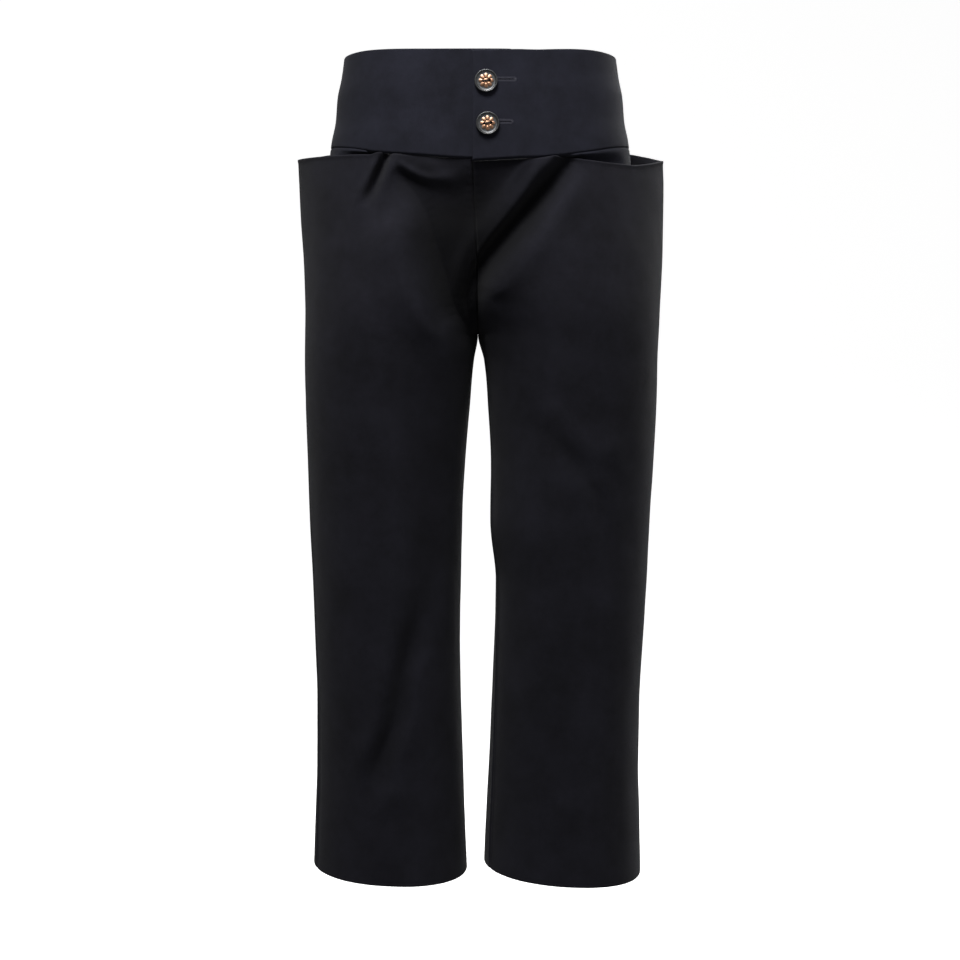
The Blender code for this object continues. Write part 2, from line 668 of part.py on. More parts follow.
def main():
    for old in list(bpy.data.objects):
        bpy.data.objects.remove(old, do_unlink=True)
    parts = bpy.data.collections.new("dress_trousers")
    cutters = bpy.data.collections.new("dress_trousers_cutters")
    for collection in (parts, cutters):
        bpy.context.scene.collection.children.link(collection)
    leg_cloth = make_material("navy_twill", NAVY_LEG, CLOTH_ROUGHNESS)
    band_cloth = make_material("navy_twill_band", NAVY_BAND, CLOTH_ROUGHNESS)
    button_finish = make_material("button_metal", BUTTON_METAL, METAL_ROUGHNESS, BUTTON_METALLIC)

    for side, label in ((LEFT, "left"), (RIGHT, "right")):
        for name, (outer, normals) in zip(("front_" + label, "back_" + label), side_walls(side)):
            add_object(name, wall_mesh(name, outer, outer - normals * CLOTH_WALL), parts, leg_cloth)
        add_object("hip_yoke_" + label, yoke_wall("hip_yoke_" + label, side), parts, leg_cloth)

    name = "waistband_front_left"
    wall = band_wall(name, "left", "front", OVERLAP_EDGE, 1, BAND_FRONT_COLUMNS, LEFT)
    upper_band = add_object(name, wall, parts, band_cloth)
    name = "waistband_front_right"
    wall = band_wall(name, "right", "front", -1, UNDERLAP_END, BAND_FRONT_COLUMNS, RIGHT)
    add_object(name, wall, parts, band_cloth)
    name = "waistband_back"
    add_object(name, band_wall(name, "back", "back", -1, 1, BAND_BACK_COLUMNS, 0), parts, band_cloth)
    add_object("fly_underlap", fly_wall("fly_underlap"), parts, leg_cloth)
    make_buttons(parts, cutters, button_finish, upper_band)


main()
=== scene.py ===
"""Dress trousers as they are worn: deep navy twill, a wide buttoned waistband, stand-away hip pockets.

The front faces -Y and the wearer's left is +X. Sizes are in millimetres, as a cutter would write them,
and become metres when a mesh is made. The pieces lie on the frame's solids.
"""
import math

import bmesh
import bpy
import numpy as np
from mathutils import Matrix, Vector, noise

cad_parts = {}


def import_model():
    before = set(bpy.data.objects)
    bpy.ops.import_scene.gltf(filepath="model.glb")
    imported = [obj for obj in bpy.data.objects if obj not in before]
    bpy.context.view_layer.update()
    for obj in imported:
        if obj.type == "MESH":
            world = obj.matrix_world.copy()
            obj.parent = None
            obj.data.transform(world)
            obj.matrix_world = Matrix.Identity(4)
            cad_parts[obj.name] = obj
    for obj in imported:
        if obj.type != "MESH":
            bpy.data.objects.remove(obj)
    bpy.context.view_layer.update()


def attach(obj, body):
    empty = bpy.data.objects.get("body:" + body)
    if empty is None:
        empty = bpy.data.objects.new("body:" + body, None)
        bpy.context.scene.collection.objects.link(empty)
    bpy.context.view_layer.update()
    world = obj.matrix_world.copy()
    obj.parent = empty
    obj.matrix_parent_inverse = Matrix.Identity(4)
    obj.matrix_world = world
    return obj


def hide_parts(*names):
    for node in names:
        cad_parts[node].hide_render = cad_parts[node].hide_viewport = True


MM = 0.001
LEFT = 1
RIGHT = -1
NAMES = {LEFT: "left", RIGHT: "right"}

# Cloth
LEG_CLOTH = 1.25
BAND_CLOTH = 2.6
YOKE_CLOTH = 1.0
HEM_TURN_UP = 30.0
HEM_EXTRA = 0.9
RIM_FACING = 26.0
RIM_EXTRA = 0.7

# Levels
CROTCH_LEVEL = -218.0
HEM_LEVEL = -753.0
YOKE_BOTTOM = -180.0
FLY_BOTTOM = -135.0

# Waistband rings: an even curve of this power
BAND_POWER = 2.7
BAND_COLUMNS = ("z", "half_width", "front", "back")
BAND_SECTIONS = (
    (54, 133.2, 82.5, 90.5),
    (31, 136.3, 85.5, 93.5),
    (14, 139.8, 87.8, 96),
    (-10, 142, 90.5, 98.8),
    (-30, 146.2, 93, 102),
    (-58, 149.5, 96, 106),
)
BAND_TOP = {
    "left": ((-10, 48.4), (40, 49.4), (108, 52.2), (136, 50.6)),
    "right": ((-32, 50.4), (40, 50.6), (108, 52), (136, 50.6)),
    "back": ((0, 50), (60, 50.2), (136, 50.6)),
}
BAND_SEAM = {
    "left": ((-10, -54.9), (66, -50), (110, -43.6), (130, -39.4), (150, -36.1)),
    "right": ((-32, -52.3), (7, -52.1), (60, -48.5), (98, -45.2), (120, -41.2), (150, -36.1)),
    "back": ((0, -46), (60, -44), (110, -40), (150, -36.1)),
}
BAND_TOP_LEVEL = 50.0
BAND_SEAM_LEVEL = -46.0
OVERLAP_EDGE = -7.0
UNDERLAP_END = 30.0
OVERLAP_RISE = 3.0
OVERLAP_RAMP = (33, 58)

# Pocket mouths
RIM_START = {
    ("left", "front"): 66,
    ("right", "front"): 94,
    ("left", "back"): 108,
    ("right", "back"): 108,
}
RIM_BLEND = 12.0
RIM_TO_BAG = 26.0
RIMS = {
    ("left", "front"): (
        (66, -50.4), (104, -53.5), (127, -55.3), (147, -55.7), (166, -52.3), (181.5, -47),
    ),
    ("right", "front"): ((94, -49.3), (110, -48), (135, -47.4), (154, -47), (180.5, -46)),
    ("left", "back"): ((108, -40.6), (130, -37.4), (147, -35.2), (166, -40.2), (181.5, -47)),
    ("right", "back"): ((108, -40.6), (130, -37.6), (147, -36), (166, -40.6), (180.5, -46)),
}

# Hip and leg rings, as the frame has them
SECTION_COLUMNS = (
    "z", "right_outer", "right_inner", "left_inner", "left_outer",
    "front", "back", "leg_share", "bulge", "corner", "turn",
)
SECTIONS = (
    (-30, 180.6, 2, -2, 181.4, 94, 103.4, 0.00, 3.00, 1.25, 0),
    (-48, 180.4, 2, -2, 181.6, 96, 105.4, 0.00, 3.00, 1.25, 0),
    (-70, 179.4, 2, -2, 182.2, 100, 110, 0.08, 2.80, 1.36, 0),
    (-105, 177.8, 2, -2, 181.8, 105, 116, 0.27, 2.55, 1.55, 0),
    (-143, 175.2, 2, -2, 181, 108, 119, 0.56, 2.40, 1.75, 0),
    (-180, 173.8, 2, -2, 179.4, 108, 117, 0.82, 2.30, 1.92, 0),
    (-200, 173.4, 2, -2, 178.5, 107, 114, 0.93, 2.28, 2.00, 0),
    (-211, 173.4, 2, -2, 178, 106, 112, 0.975, 2.26, 2.05, 0),
    (-218, 173.5, 2, -2, 177.6, 105, 111, 1.00, 2.25, 2.08, 0),
    (-243, 173.7, 6, 4, 176.8, 103, 108, 1.00, 2.22, 2.10, 2.5),
    (-283, 173, 10, 8, 176, 99, 104, 1.00, 2.20, 2.10, 7),
    (-343, 171.3, 15, 11, 173.3, 95, 99, 1.00, 2.20, 2.10, 14),
    (-403, 169.7, 18, 10, 169.8, 92, 95, 1.00, 2.20, 2.10, 20),
    (-464, 167.1, 19.5, 15.5, 167.1, 90, 92, 1.00, 2.20, 2.10, 24),
    (-525, 165.5, 20.2, 14.2, 163.6, 88, 90, 1.00, 2.20, 2.10, 27),
    (-586, 164, 19.2, 12, 160.8, 87, 88, 1.00, 2.20, 2.10, 30),
    (-647, 164.2, 17.2, 9.2, 160.2, 86, 86, 1.00, 2.20, 2.10, 32),
    (-709, 166.6, 15.2, 6, 162.2, 86, 85, 1.00, 2.20, 2.10, 34),
    (-765, 169.2, 12.4, 3.2, 163, 86, 84, 1.00, 2.20, 2.10, 36),
)
SECTION_TOP_BLEND = (-64, -125)
CENTRE_SEAM = {
    "front": ((-219, -2), (-137, -3.2), (-55, -7), (-30, -7)),
    "back": ((-219, -2), (-137, -0.8), (-55, 0), (-30, 0)),
}
HEMS = {"right": (-756.5, -748), "left": (-748, -758.5)}
HEM_ENDS = {"right": (12.4, 169), "left": (3.2, 163)}

# Folds of the fronts, pressed straight in: the ridge thrown up below and above the fold as a share of
# its depth, how round its profile is (2 is soft, less is a sharper crease), then the line that it runs
# along. Each point of the line has its x and z, its depth (a ridge is negative) and its reach below and
# above the line.
FRONT_FOLDS = (
    (0.20, 0.30, 2, (
        (-86, -40, 2, 4.4, 3.4), (-89, -48, 7, 4.8, 3.4), (-94, -60, 8.4, 5.2, 3.6),
        (-102, -79, 7, 5.4, 4), (-109.5, -97, 0, 5.6, 4.4),
    )),
    (0.16, 0, 1.35, (
        (-78, -61, 1, 5, 10), (-72, -68, 4, 6, 18), (-63, -82, 8, 8, 30), (-50, -103, 15, 15, 40),
        (-40, -134, 21, 21, 34), (-32, -160.5, 24, 21, 22), (-24, -190, 20, 18, 15),
        (-13, -211, 10, 14, 10), (-6, -236, 0, 11, 8),
    )),
    (0, 0.35, 1.6, (
        (-81, -60, 0, 8, 3), (-75, -64, 5, 12, 3), (-66, -70, 7.5, 20, 3.2), (-54.5, -76.8, 8, 34, 4),
        (-44, -81.5, 7, 40, 5.6), (-32, -86, 5, 40, 8), (-18, -90, 2.4, 36, 11), (-5, -92, 0, 28, 12),
    )),
    (0, 0, 2, (
        (-78, -44, -1, 9, 9), (-82, -60, -3, 9, 9), (-90, -84, -3.2, 12, 12), (-90, -116, -2, 15, 15),
        (-84, -150, 0, 16, 16),
    )),
    (0, 0, 2, (
        (-58, -52, 0, 9, 9), (-42, -66, -2.2, 9, 9), (-28, -72, -1.4, 9, 9), (-14, -76, 0, 9, 9),
    )),
    (0, 0.12, 2, (
        (88, -46, 2, 9, 6), (80, -57, 10, 12, 7), (67, -72, 15, 15, 8.5), (53, -88, 19.5, 18, 9),
        (33, -111, 26, 20, 9.5), (12, -134, 29, 20, 9), (-2, -153, 29, 18, 8), (-9, -170, 25, 16, 7),
        (-12, -187, 18, 14, 6.5), (-10, -204, 8, 12, 6), (-6, -226, 0, 12, 6),
    )),
    (0, 0, 2, (
        (100, -62, 0, 14, 13), (78, -93, -4.6, 15, 13), (58, -118, -4, 15, 12), (36, -144, -3, 14, 11),
        (19, -170, -1.4, 12, 10), (9, -192, 0, 10, 9),
    )),
    (0.3, 0.5, 2, (
        (56, -51, 0.4, 3.4, 3.4), (46, -63, 2.4, 3.6, 3.6), (36, -79, 2, 4, 4), (32, -88, 0, 4.4, 4.4),
    )),
    (0.2, 0.2, 2, (
        (1, -180, 1.4, 6, 4.5), (12, -183.5, 2, 7, 5), (28, -185, 1.1, 8, 7), (44, -184, 0, 9, 9),
    )),
    (0, 0, 2, (
        (-6, -50, 0, 44, 40), (-5.5, -64, 6, 46, 42), (-5.5, -84, 14, 48, 44), (-7.5, -112, 22, 46, 36),
        (-13, -146, 26, 36, 20), (-15, -178, 23, 26, 10), (-11, -206, 11, 20, 8), (-5, -238, 0, 18, 8),
    )),
    (0.2, 0.2, 2, (
        (-40, -236, 0, 22, 20), (-54, -300, 3, 26, 20), (-52, -360, 3.4, 26, 20),
        (-49, -407, 4, 22, 17), (-57, -472, 5.6, 15, 12), (-69, -520, 7.6, 12, 9),
        (-75, -542, 8.4, 11, 8), (-82, -588, 7.6, 11, 9), (-93, -615, 8.2, 11, 8),
        (-103, -652, 3.4, 12, 10), (-108, -678, 0, 12, 11),
    )),
    (0.2, 0.2, 2, (
        (-17, -222, 0, 5, 7), (-19, -236, 1.8, 5, 7), (-20.5, -262, 1.5, 6, 8), (-22, -284, 0, 7, 9),
    )),
    (0.15, 0.15, 2, (
        (60, -250, 0, 26, 26), (68, -330, 1.8, 26, 26), (80, -420, 1.6, 24, 24), (82, -500, 2, 24, 24),
        (76, -590, 1.6, 24, 24), (72, -680, 0, 24, 24),
    )),
    (0.3, 0.45, 2, (
        (36, -294, 0, 14, 11), (52, -304, 1.6, 14, 11), (70, -317, 2.6, 14, 10),
        (88, -338, 3.2, 13, 10), (100, -352, 1.8, 13, 11), (112, -360, 0, 12, 11),
    )),
    (0.4, 0.4, 2, (
        (90, -348, 0, 7, 7), (104, -360, 1.4, 7, 7), (114, -376, 1.5, 7, 7), (115, -400, 1.1, 8, 8),
        (108, -428, 0, 8, 8),
    )),
    (0.2, 0.2, 2, (
        (20, -352, 0, 13, 13), (28, -420, 1.4, 14, 14), (38, -510, 1.3, 16, 16), (46, -620, 0, 16, 16),
    )),
    (0.3, 0.3, 2, (
        (-62, -562, 0, 9, 9), (-78, -580, 1.3, 9, 9), (-100, -587, 0, 10, 10),
    )),
    (0, 0, 2, (
        (-66, -654, 0, 14, 12), (-88, -665, -1.5, 14, 12), (-108, -668, 0, 14, 12),
    )),
    (0, 0, 2, (
        (112, -318, 0, 12, 12), (126, -326, -1.8, 12, 12), (140, -332, 0, 12, 12),
    )),
)
# Folds of the backs, lighter, with the drag lines from the seat to the crotch and behind the knees
BACK_FOLDS = (
    (0.3, 0.1, 2, (
        (-118, -96, 0, 12, 10), (-94, -124, 4, 14, 11), (-62, -160, 5.5, 14, 11),
        (-34, -190, 5.5, 13, 10), (-8, -216, 0, 11, 9),
    )),
    (0.3, 0.1, 2, (
        (112, -92, 0, 12, 10), (88, -120, 4.4, 13, 11), (58, -156, 5.8, 14, 11),
        (32, -188, 5.5, 13, 10), (7, -215, 0, 11, 9),
    )),
    (0.3, 0.3, 2, (
        (-130, -194, 0, 9, 8), (-98, -208, 2.6, 9, 8), (-56, -223, 2.8, 9, 8), (-10, -236, 0, 9, 8),
    )),
    (0.3, 0.3, 2, (
        (128, -188, 0, 9, 9), (92, -207, 2.8, 9, 9), (52, -225, 2.9, 9, 9), (10, -234, 0, 9, 9),
    )),
    (0.3, 0.4, 2, (
        (-154, -366, 0, 12, 9), (-112, -396, 3.2, 12, 9), (-68, -404, 3.4, 12, 9),
        (-28, -388, 0, 12, 9),
    )),
    (0.3, 0.3, 2, (
        (-140, -427, 0, 11, 9), (-92, -444, 2.8, 11, 9), (-46, -434, 0, 11, 9),
    )),
    (0.3, 0.4, 2, (
        (154, -378, 0, 12, 9), (112, -396, 3.1, 12, 9), (70, -408, 3.2, 12, 9), (26, -396, 0, 12, 9),
    )),
    (0.3, 0.3, 2, (
        (142, -434, 0, 10, 9), (98, -448, 2.8, 10, 9), (48, -446, 0, 10, 9),
    )),
    (0.2, 0.2, 2, (
        (-84, -240, 0, 24, 24), (-96, -350, 2.2, 24, 24), (-90, -520, 2.6, 22, 22),
        (-82, -690, 0, 20, 20),
    )),
    (0.2, 0.2, 2, (
        (82, -244, 0, 24, 24), (92, -360, 2.2, 24, 24), (84, -540, 2.6, 22, 22), (77, -700, 0, 20, 20),
    )),
)
FOLDS = {"front": FRONT_FOLDS, "back": BACK_FOLDS}

# How folds join, where each one ends beside its line, and how finely its line is followed
FOLD_JOIN_POWER = 4.0
FOLD_ENDS = (1.5, 2.3)
FOLD_RIDGE_OUT = 2.0
ROUTE_STEPS = 26
ROUTE_SOFT = 1.5
ROUTE_POWER = 7.0
FOLD_INNER_CLEAR = 12.0
FOLD_SIDE_CLEAR = 30.0
FOLD_LEG_FROM = (-2.0, 14.0)
# Painted shade in the folds' hollows: full at this pressed depth, its curve, and how much it darkens the
# cloth's colour
PAINTED_SHADE_DEPTH = 18.0
PAINTED_SHADE_POWER = 0.8
HOLLOW_SHADE = 0.74

# Density of the cloth meshes, with the lengths in mm that the rows and columns are spread over
LEVEL_STEP = 2.5
CROTCH_LEVEL_STEP = 0.25
CROTCH_FINE = (18.0, 6.0)
SETTLE_SHARE = 0.6
SETTLE_POWER = 6.0
CROTCH_CROWDING = 0.55
HIP_CROWDING_POWER = 3
LEG_CROWDING_POWER = 8
RING_SAMPLES = 220
EDGE_STEPS = (0.0, 0.5, 1.1, 1.9, 3.0, 4.5)
PANEL_COLUMNS = {"front": 150, "back": 96}
PANEL_WIDTH = 240.0
HIP_ROWS = 100
HIP_HEIGHT = 170.0
LEG_ROWS = 190
LEG_HEIGHT = 535.0
BAND_FINE_COLUMNS = 120
BAND_FINE_ROWS = 46
BAND_HEIGHT = 100.0
BAND_LENGTHS = {"left": 190.0, "right": 220.0, "back": 330.0}
BAND_LEVELS = (56.0, -60.0, -2.0)
YOKE_FINE = (70, 44)
YOKE_DIRECTIONS = 181
YOKE_LEVELS_PAST = 12.0
FLY_FINE = (16, 34)
EDGE_ROUND_STEPS = 3

# Crotch: how far up and down the rings are eased, and from which share of a ring outwards
CROTCH_SOFTEN = 13.0
CROTCH_SOFTEN_REACH = 34.0
CROTCH_SOFTEN_FROM = (0.04, 0.3)

# Relief of the cloth: seams sunk, with a ridge beside them on the legs, rims lifted
SEAM_DIP = 0.8
SEAM_DIP_WIDTH = 1.3
CENTRE_DIP_MORE = 1.4
CENTRE_DIP_BLEND = 20.0
# Width of the painted shade along the hips' centre seam
SEAM_SHADE_WIDTH = 1.1
SEAM_RIDGE = 0.7
SEAM_RIDGE_OUT = 3.0
SEAM_RIDGE_WIDTH = 1.5
SEAM_RIDGE_FROM = (-75.0, -35.0)
SEAM_RIDGE_HEM_CLEAR = 12.0
WAIST_DIP = 1.6
WAIST_DIP_WIDTH = 0.8
WAIST_SEAM_END = 4.0
YOKE_DIP = 0.5
RIM_LIP = 0.6
RIM_LIP_WIDTH = 2.2
FACING_STEP = 0.5
# Ripples: height, seed, length of a wave and its stretch in z
LEG_RIPPLES = ((0.8, 1.0, 55.0, 2.2), (0.3, 3.0, 21.0, 1.6))
BAND_RIPPLE = (0.35, 7.0, 48.0, 0.8)
YOKE_RIPPLE = (0.4, 11.0, 40.0, 1.5)
LEG_RIPPLE_CLEAR = 14.0
LEG_RIPPLE_TOP_CLEAR = 10.0
BAND_RIPPLE_CLEAR = 12.0
YOKE_RIPPLE_FROM = 0.1
NOISE_SHIFT = (17.3, 5.1, 9.7)

# The pocket's inner wall, as the frame has it
HIP_FILL = {"half_width": 16.0, "front": 9.0, "back": 8.0}
YOKE_PAST_RIM = 2.0
YOKE_EDGE_SHARE = 0.2
YOKE_CLOSE_FROM = 0.7
YOKE_MARGIN = 0.5
YOKE_TOP_BLEND = 24.0
YOKE_INSIDE = 1.8
YOKE_LOOK = 4
# Where the pocket gapes by this much, this share of the gap below the band lies flush with the band
YOKE_SHOWN_GAP = (1.0, 5.0)
YOKE_SHOWN_SHARE = (0.2, 0.9)

# The strip behind the fly
FLY_OVERHANG = 4.0
FLY_MARGIN = 0.7
FLY_CLOTH = 1.3
FLY_TOP_DROP = 1.2
FLY_LOOK = 2

# Buttons, as the frame has them: x and z of each on the upper band
BUTTONS = {"button_upper": (5.7, 19.9), "button_lower": (7.2, -20.1)}
BUTTON_RADIUS = 11.0
BUTTON_HEIGHT = 3.4
BUTTON_CLEARANCE = 0.35
BUTTON_SPOKES = 128
BUTTON_RINGS = 30
BUTTON_HOLE_RADIUS = 1.25
BUTTON_HOLE_OFFSET = 3.3
BUTTON_HOLE_TILT = 7.0
BAND_LEAN_STEP = 5.0
# The button's turned outline: how far inside its rim, and how high, from the middle round to the back
BUTTON_OUTLINE = (
    (3.3, 2.2), (2.7, 2.24), (2.1, 2.4), (1.65, 2.7), (1.3, 3.1), (1.0, 3.35), (0.7, 3.4), (0.4, 3.25),
    (0.12, 2.9), (0.0, 2.3), (0.0, 1.5), (0.15, 0.9), (0.6, 0.35), (1.4, 0.05), (2.6, 0.0), (11.0, 0.0),
)
# The rosette: its petals' notches as a share of the radius, its height, its veins, ring and domed middle
ROSETTE_RADIUS = 7.3
ROSETTE_PETALS = 8
ROSETTE_NOTCH = 0.28
ROSETTE_HEIGHT = 0.35
ROSETTE_VEIN = 0.45
ROSETTE_VEIN_FROM = (1.8, 3.4)
ROSETTE_RING = (0.30, 2.5, 0.5)
ROSETTE_DOME = (0.2, 1.6)
ROSETTE_EDGE_POWER = 4
ROSETTE_PETAL_POWERS = (0.7, 0.6)
ROSETTE_RUBBED = (0.04, 0.22)
ROSETTE_FACE_DROP = 0.2
ROSETTE_MARGIN = 0.4
# Sewing thread between a button's holes: strands side by side, each an arch that dives into the holes
THREAD_STRANDS = 3
THREAD_SPACING = 0.36
THREAD_RADIUS = 0.24
THREAD_SIDES = 10
THREAD_POINTS = 13
THREAD_PAST_HOLE = 0.1
THREAD_HEIGHT = 3.15
THREAD_ARCH = 0.25
THREAD_DIVE = 2.2
THREAD_DIVE_FROM = 0.72
THREAD_DIVE_POWER = 1.6
THREAD_SIDE_DROP = 0.12
THREAD_GATHER = 0.35
# Buttonholes: the x that each runs to, its start from the button's middle, and its height above that
BUTTONHOLE_ENDS = {"button_upper": 32.5, "button_lower": 29.3}
BUTTONHOLE_START = 2.6
BUTTONHOLE_RAISE = 2.2
BUTTONHOLE_SLIT = 0.9
BUTTONHOLE_HALF = 1.35
BUTTONHOLE_POINT_STEP = 0.25
STITCH_SPACING = 0.52
STITCH_LENGTH = 1.9
STITCH_THREAD = 0.24
STITCH_LIFT = 0.05
STITCH_SEED = 7
STITCH_LEAST = (0.85, 0.85, 0.86)
STITCH_MOST = (1.1, 1.1, 1.12)

# Middle, half width and half height of the flat stretch of band round the buttons, and the blend round it
BUTTON_CALM = (14.0, 24.0, 32.0)
BUTTON_CALM_BLEND = 16.0

# Camera
CAMERA_DISTANCE = 1900.0
CAMERA_HEIGHT = -223.0
CAMERA_TILT = 4.21
CAMERA_LENS = 71.25
CAMERA_SENSOR = 36.0
CAMERA_REACH = 20.0

# Studio, in metres
FLOOR_LEVEL = -1.5
FLOOR_RADIUS = 4.5
FLOOR_CURVE = 1.2
FLOOR_CURVE_STEPS = 12
FLOOR_SPOKES = 96
FLOOR_GLOW = 0.66
FLOOR_TONE = 0.93
WALL_TOP = 4.0
WORLD_STRENGTH = 0.22
KEY_PLACE = (-0.24, -0.9, 1.42)
KEY_AIM = (0.0, -0.1, -0.25)
POCKET_LAMP_PLACE = (0.62, -0.95, 0.95)
POCKET_LAMP_AIM = (0.168, 0.03, -0.035)
POCKET_LAMP_CONE = 5.5
SUN_SOFTNESS = 60.0
SUNS = {"back": ((-0.35, -0.85, -0.65), 4.2), "fill": ((-0.75, 0.6, -0.4), 0.35)}

# Finishes
NAVY = (0.0080, 0.0079, 0.0118)
# A lighter, bluer copy of the legs' navy for the waistband and pocket walls; its lighter tone is painted
# light from above
NAVY_WAIST_PAINTED_LIGHTER = (0.0100, 0.0104, 0.0165)
NAVY_THREAD = (0.036, 0.036, 0.050)
BUTTON_THREAD = (0.006, 0.006, 0.009)
PEWTER = (0.090, 0.092, 0.094, 1.0)
COPPER = (0.33, 0.185, 0.115, 1.0)
WHITE = (1.0, 1.0, 1.0, 1.0)
TWILL_SLANT = 58.0
TWILL_BUMP = 0.3
SHARP_CLOTH = 60.0
SHARP_BUTTON = 50.0
SHARP_STITCH = 70.0


def smooth_curve(points, where):
    """The smooth curve through (position, value) points, with no overshoot between them."""
    table = np.array(sorted(points), float)
    xs = table[:, 0]
    ys = table[:, 1]
    steps = np.diff(xs)
    slopes = np.diff(ys) / steps
    tangents = np.zeros(len(xs))
    both = slopes[1:] * slopes[:-1] > 0
    harmonic = 2 * slopes[1:] * slopes[:-1] / np.where(both, slopes[1:] + slopes[:-1], 1.0)
    tangents[1:-1] = np.where(both, harmonic, 0.0)
    tangents[0] = slopes[0]
    tangents[-1] = slopes[-1]
    at = np.clip(where, xs[0], xs[-1])
    i = np.clip(np.searchsorted(xs, at) - 1, 0, len(steps) - 1)
    f = (at - xs[i]) / steps[i]
    rise = (2 * f**3 - 3 * f**2 + 1) * ys[i] + (3 * f**2 - 2 * f**3) * ys[i + 1]
    bend = (f**3 - 2 * f**2 + f) * tangents[i] + (f**3 - f**2) * tangents[i + 1]
    return rise + bend * steps[i]


def ramp(start, end, where):
    """0 before start and 1 after end, with a smooth step between them."""
    f = np.clip((where - start) / (end - start), 0.0, 1.0)
    return f * f * (3 - 2 * f)


def bell(distance, width):
    """1 on a line, fading out softly on both sides of it."""
    return np.exp(-((distance / width) ** 2))


def section_value(name, z):
    at = SECTION_COLUMNS.index(name)
    return smooth_curve([(row[0], row[at]) for row in SECTIONS], z)


def band_size(name, z):
    at = BAND_COLUMNS.index(name)
    return smooth_curve([(row[0], row[at]) for row in BAND_SECTIONS], z)


def band_depth(face, distance, z):
    """How far the waistband's ring lies in front of or behind x at this distance from the centre."""
    share = np.clip(np.abs(distance) / band_size("half_width", z), 0.0, 1.0)
    return band_size(face, z) * (1 - share**BAND_POWER) ** (1 / BAND_POWER)


def half_rings(side, face, levels):
    """One half of the hip or leg at each level, from its centre or inseam to its side seam."""
    name = NAMES[side]
    z = levels[:, None]
    centre = side * smooth_curve(CENTRE_SEAM[face], z)
    outer = section_value(name + "_outer", z)
    inner = np.where(z < CROTCH_LEVEL, section_value(name + "_inner", z), centre)
    middle = inner + (outer - inner) / 2 * section_value("leg_share", z)
    reach = outer - middle
    start = np.arcsin(np.clip(-(middle - inner) / reach, -1.0, 0.0))
    share = np.linspace(0.0, 1.0, RING_SAMPLES)[None, :]
    across = np.sin(start + share * (math.pi / 2 - start))
    distance = middle + reach * across
    bulge = section_value("bulge", z)
    depth = section_value(face, z) * (1 - np.abs(across) ** bulge) ** (1 / section_value("corner", z))
    begin = RIM_START[(name, face)]
    near_band = (1 - ramp(begin, begin + RIM_TO_BAG, distance)) * (1 - ramp(*SECTION_TOP_BLEND, z))
    depth = depth + near_band * (band_depth(face, distance, z) - depth)
    return np.stack([distance, -depth if face == "front" else depth], axis=2)


def lengths_along(points):
    return np.concatenate([[0.0], np.cumsum(np.hypot(*np.diff(points, axis=0).T))])


def settled_steps(steps, length, full):
    """Column places on a hip ring shorter than the leg's. Most of the change is near the centre."""
    missing = max(full - length, 1e-6)
    power = min(max(SETTLE_SHARE * full / missing, 1.0), SETTLE_POWER)
    from_side = (1 - steps) * full - missing * (1 - steps) ** power
    return 1 - from_side / length


def ring_table(side, face, levels, steps):
    """The ring's points at each level and column. The seams swing round the leg with the turn."""
    fronts = half_rings(side, "front", levels)
    backs = half_rings(side, "back", levels)
    turns = side * section_value("turn", levels)
    full = lengths_along(half_rings(side, face, np.array([CROTCH_LEVEL]))[0])[-1]
    table = np.zeros((len(levels), len(steps), 2))
    for i, turn in enumerate(turns):
        front = fronts[i]
        back = backs[i][::-1]
        if turn == 0.0:
            ring = front if face == "front" else back[::-1]
            length = lengths_along(ring)[-1]
            at = settled_steps(steps, length, full) * length
        else:
            ring = np.concatenate([front, back[1:], front[1:], back[1:]])
            front_length = lengths_along(front)[-1]
            back_length = lengths_along(back)[-1]
            seam = front_length + back_length + turn
            at = seam + steps * front_length if face == "front" else seam - steps * back_length
        run = lengths_along(ring)
        table[i, :, 0] = np.interp(at, run, ring[:, 0])
        table[i, :, 1] = np.interp(at, run, ring[:, 1])
    return table


def read_levels(table, levels, z):
    """The table's points at height z[row, column], column by column. Levels run downwards."""
    points = np.zeros(z.shape + (2,))
    for column in range(z.shape[1]):
        for axis in range(2):
            points[:, column, axis] = np.interp(-z[:, column], -levels, table[:, column, axis])
    return points


def edge_first_steps(count, length):
    """Shares from 0 to 1 that are close together at both ends, where a seam rolls in."""
    edge = np.array(EDGE_STEPS) / length
    middle = np.linspace(edge[-1], 1 - edge[-1], count - 2 * len(edge) + 3)
    return np.concatenate([edge[:-1], middle, 1 - edge[-2::-1]])


def panel_top(side, face, distance):
    """The height of a leg panel's top edge: the waist seam, then the pocket's rim."""
    name = NAMES[side]
    seam = smooth_curve(BAND_SEAM[name if face == "front" else "back"], distance)
    begin = RIM_START[(name, face)]
    rim = smooth_curve(RIMS[(name, face)], distance)
    return seam + ramp(begin, begin + RIM_BLEND, distance) * (rim - seam)


def place_on_route(x, z, points, run):
    """How far along a fold's line each x and z lies, and how far beside it. Above the line is positive."""
    fine_run = np.linspace(0.0, run[-1], ROUTE_STEPS + 1)
    fine = np.stack([smooth_curve(list(zip(run, points[:, at])), fine_run) for at in (0, 1)], axis=1)
    up = 1.0 if points[-1, 0] > points[0, 0] else -1.0
    nearest = np.full(x.shape, np.inf)
    signed = np.zeros(x.shape)
    along = np.zeros(x.shape)
    weights = np.zeros(x.shape)
    for i in range(ROUTE_STEPS):
        step = fine[i + 1] - fine[i]
        px = x - fine[i, 0]
        pz = z - fine[i, 1]
        f = np.clip((px * step[0] + pz * step[1]) / (step @ step), 0, 1)
        away = np.hypot(px - f * step[0], pz - f * step[1])
        above_line = up * (pz * step[0] - px * step[1])
        weight = (away + ROUTE_SOFT) ** -ROUTE_POWER
        weights += weight
        along += weight * (fine_run[i] + f * (fine_run[i + 1] - fine_run[i]))
        signed = np.where(away < nearest, np.where(above_line > 0, away, -away), signed)
        nearest = np.minimum(nearest, away)
    return along / weights, signed


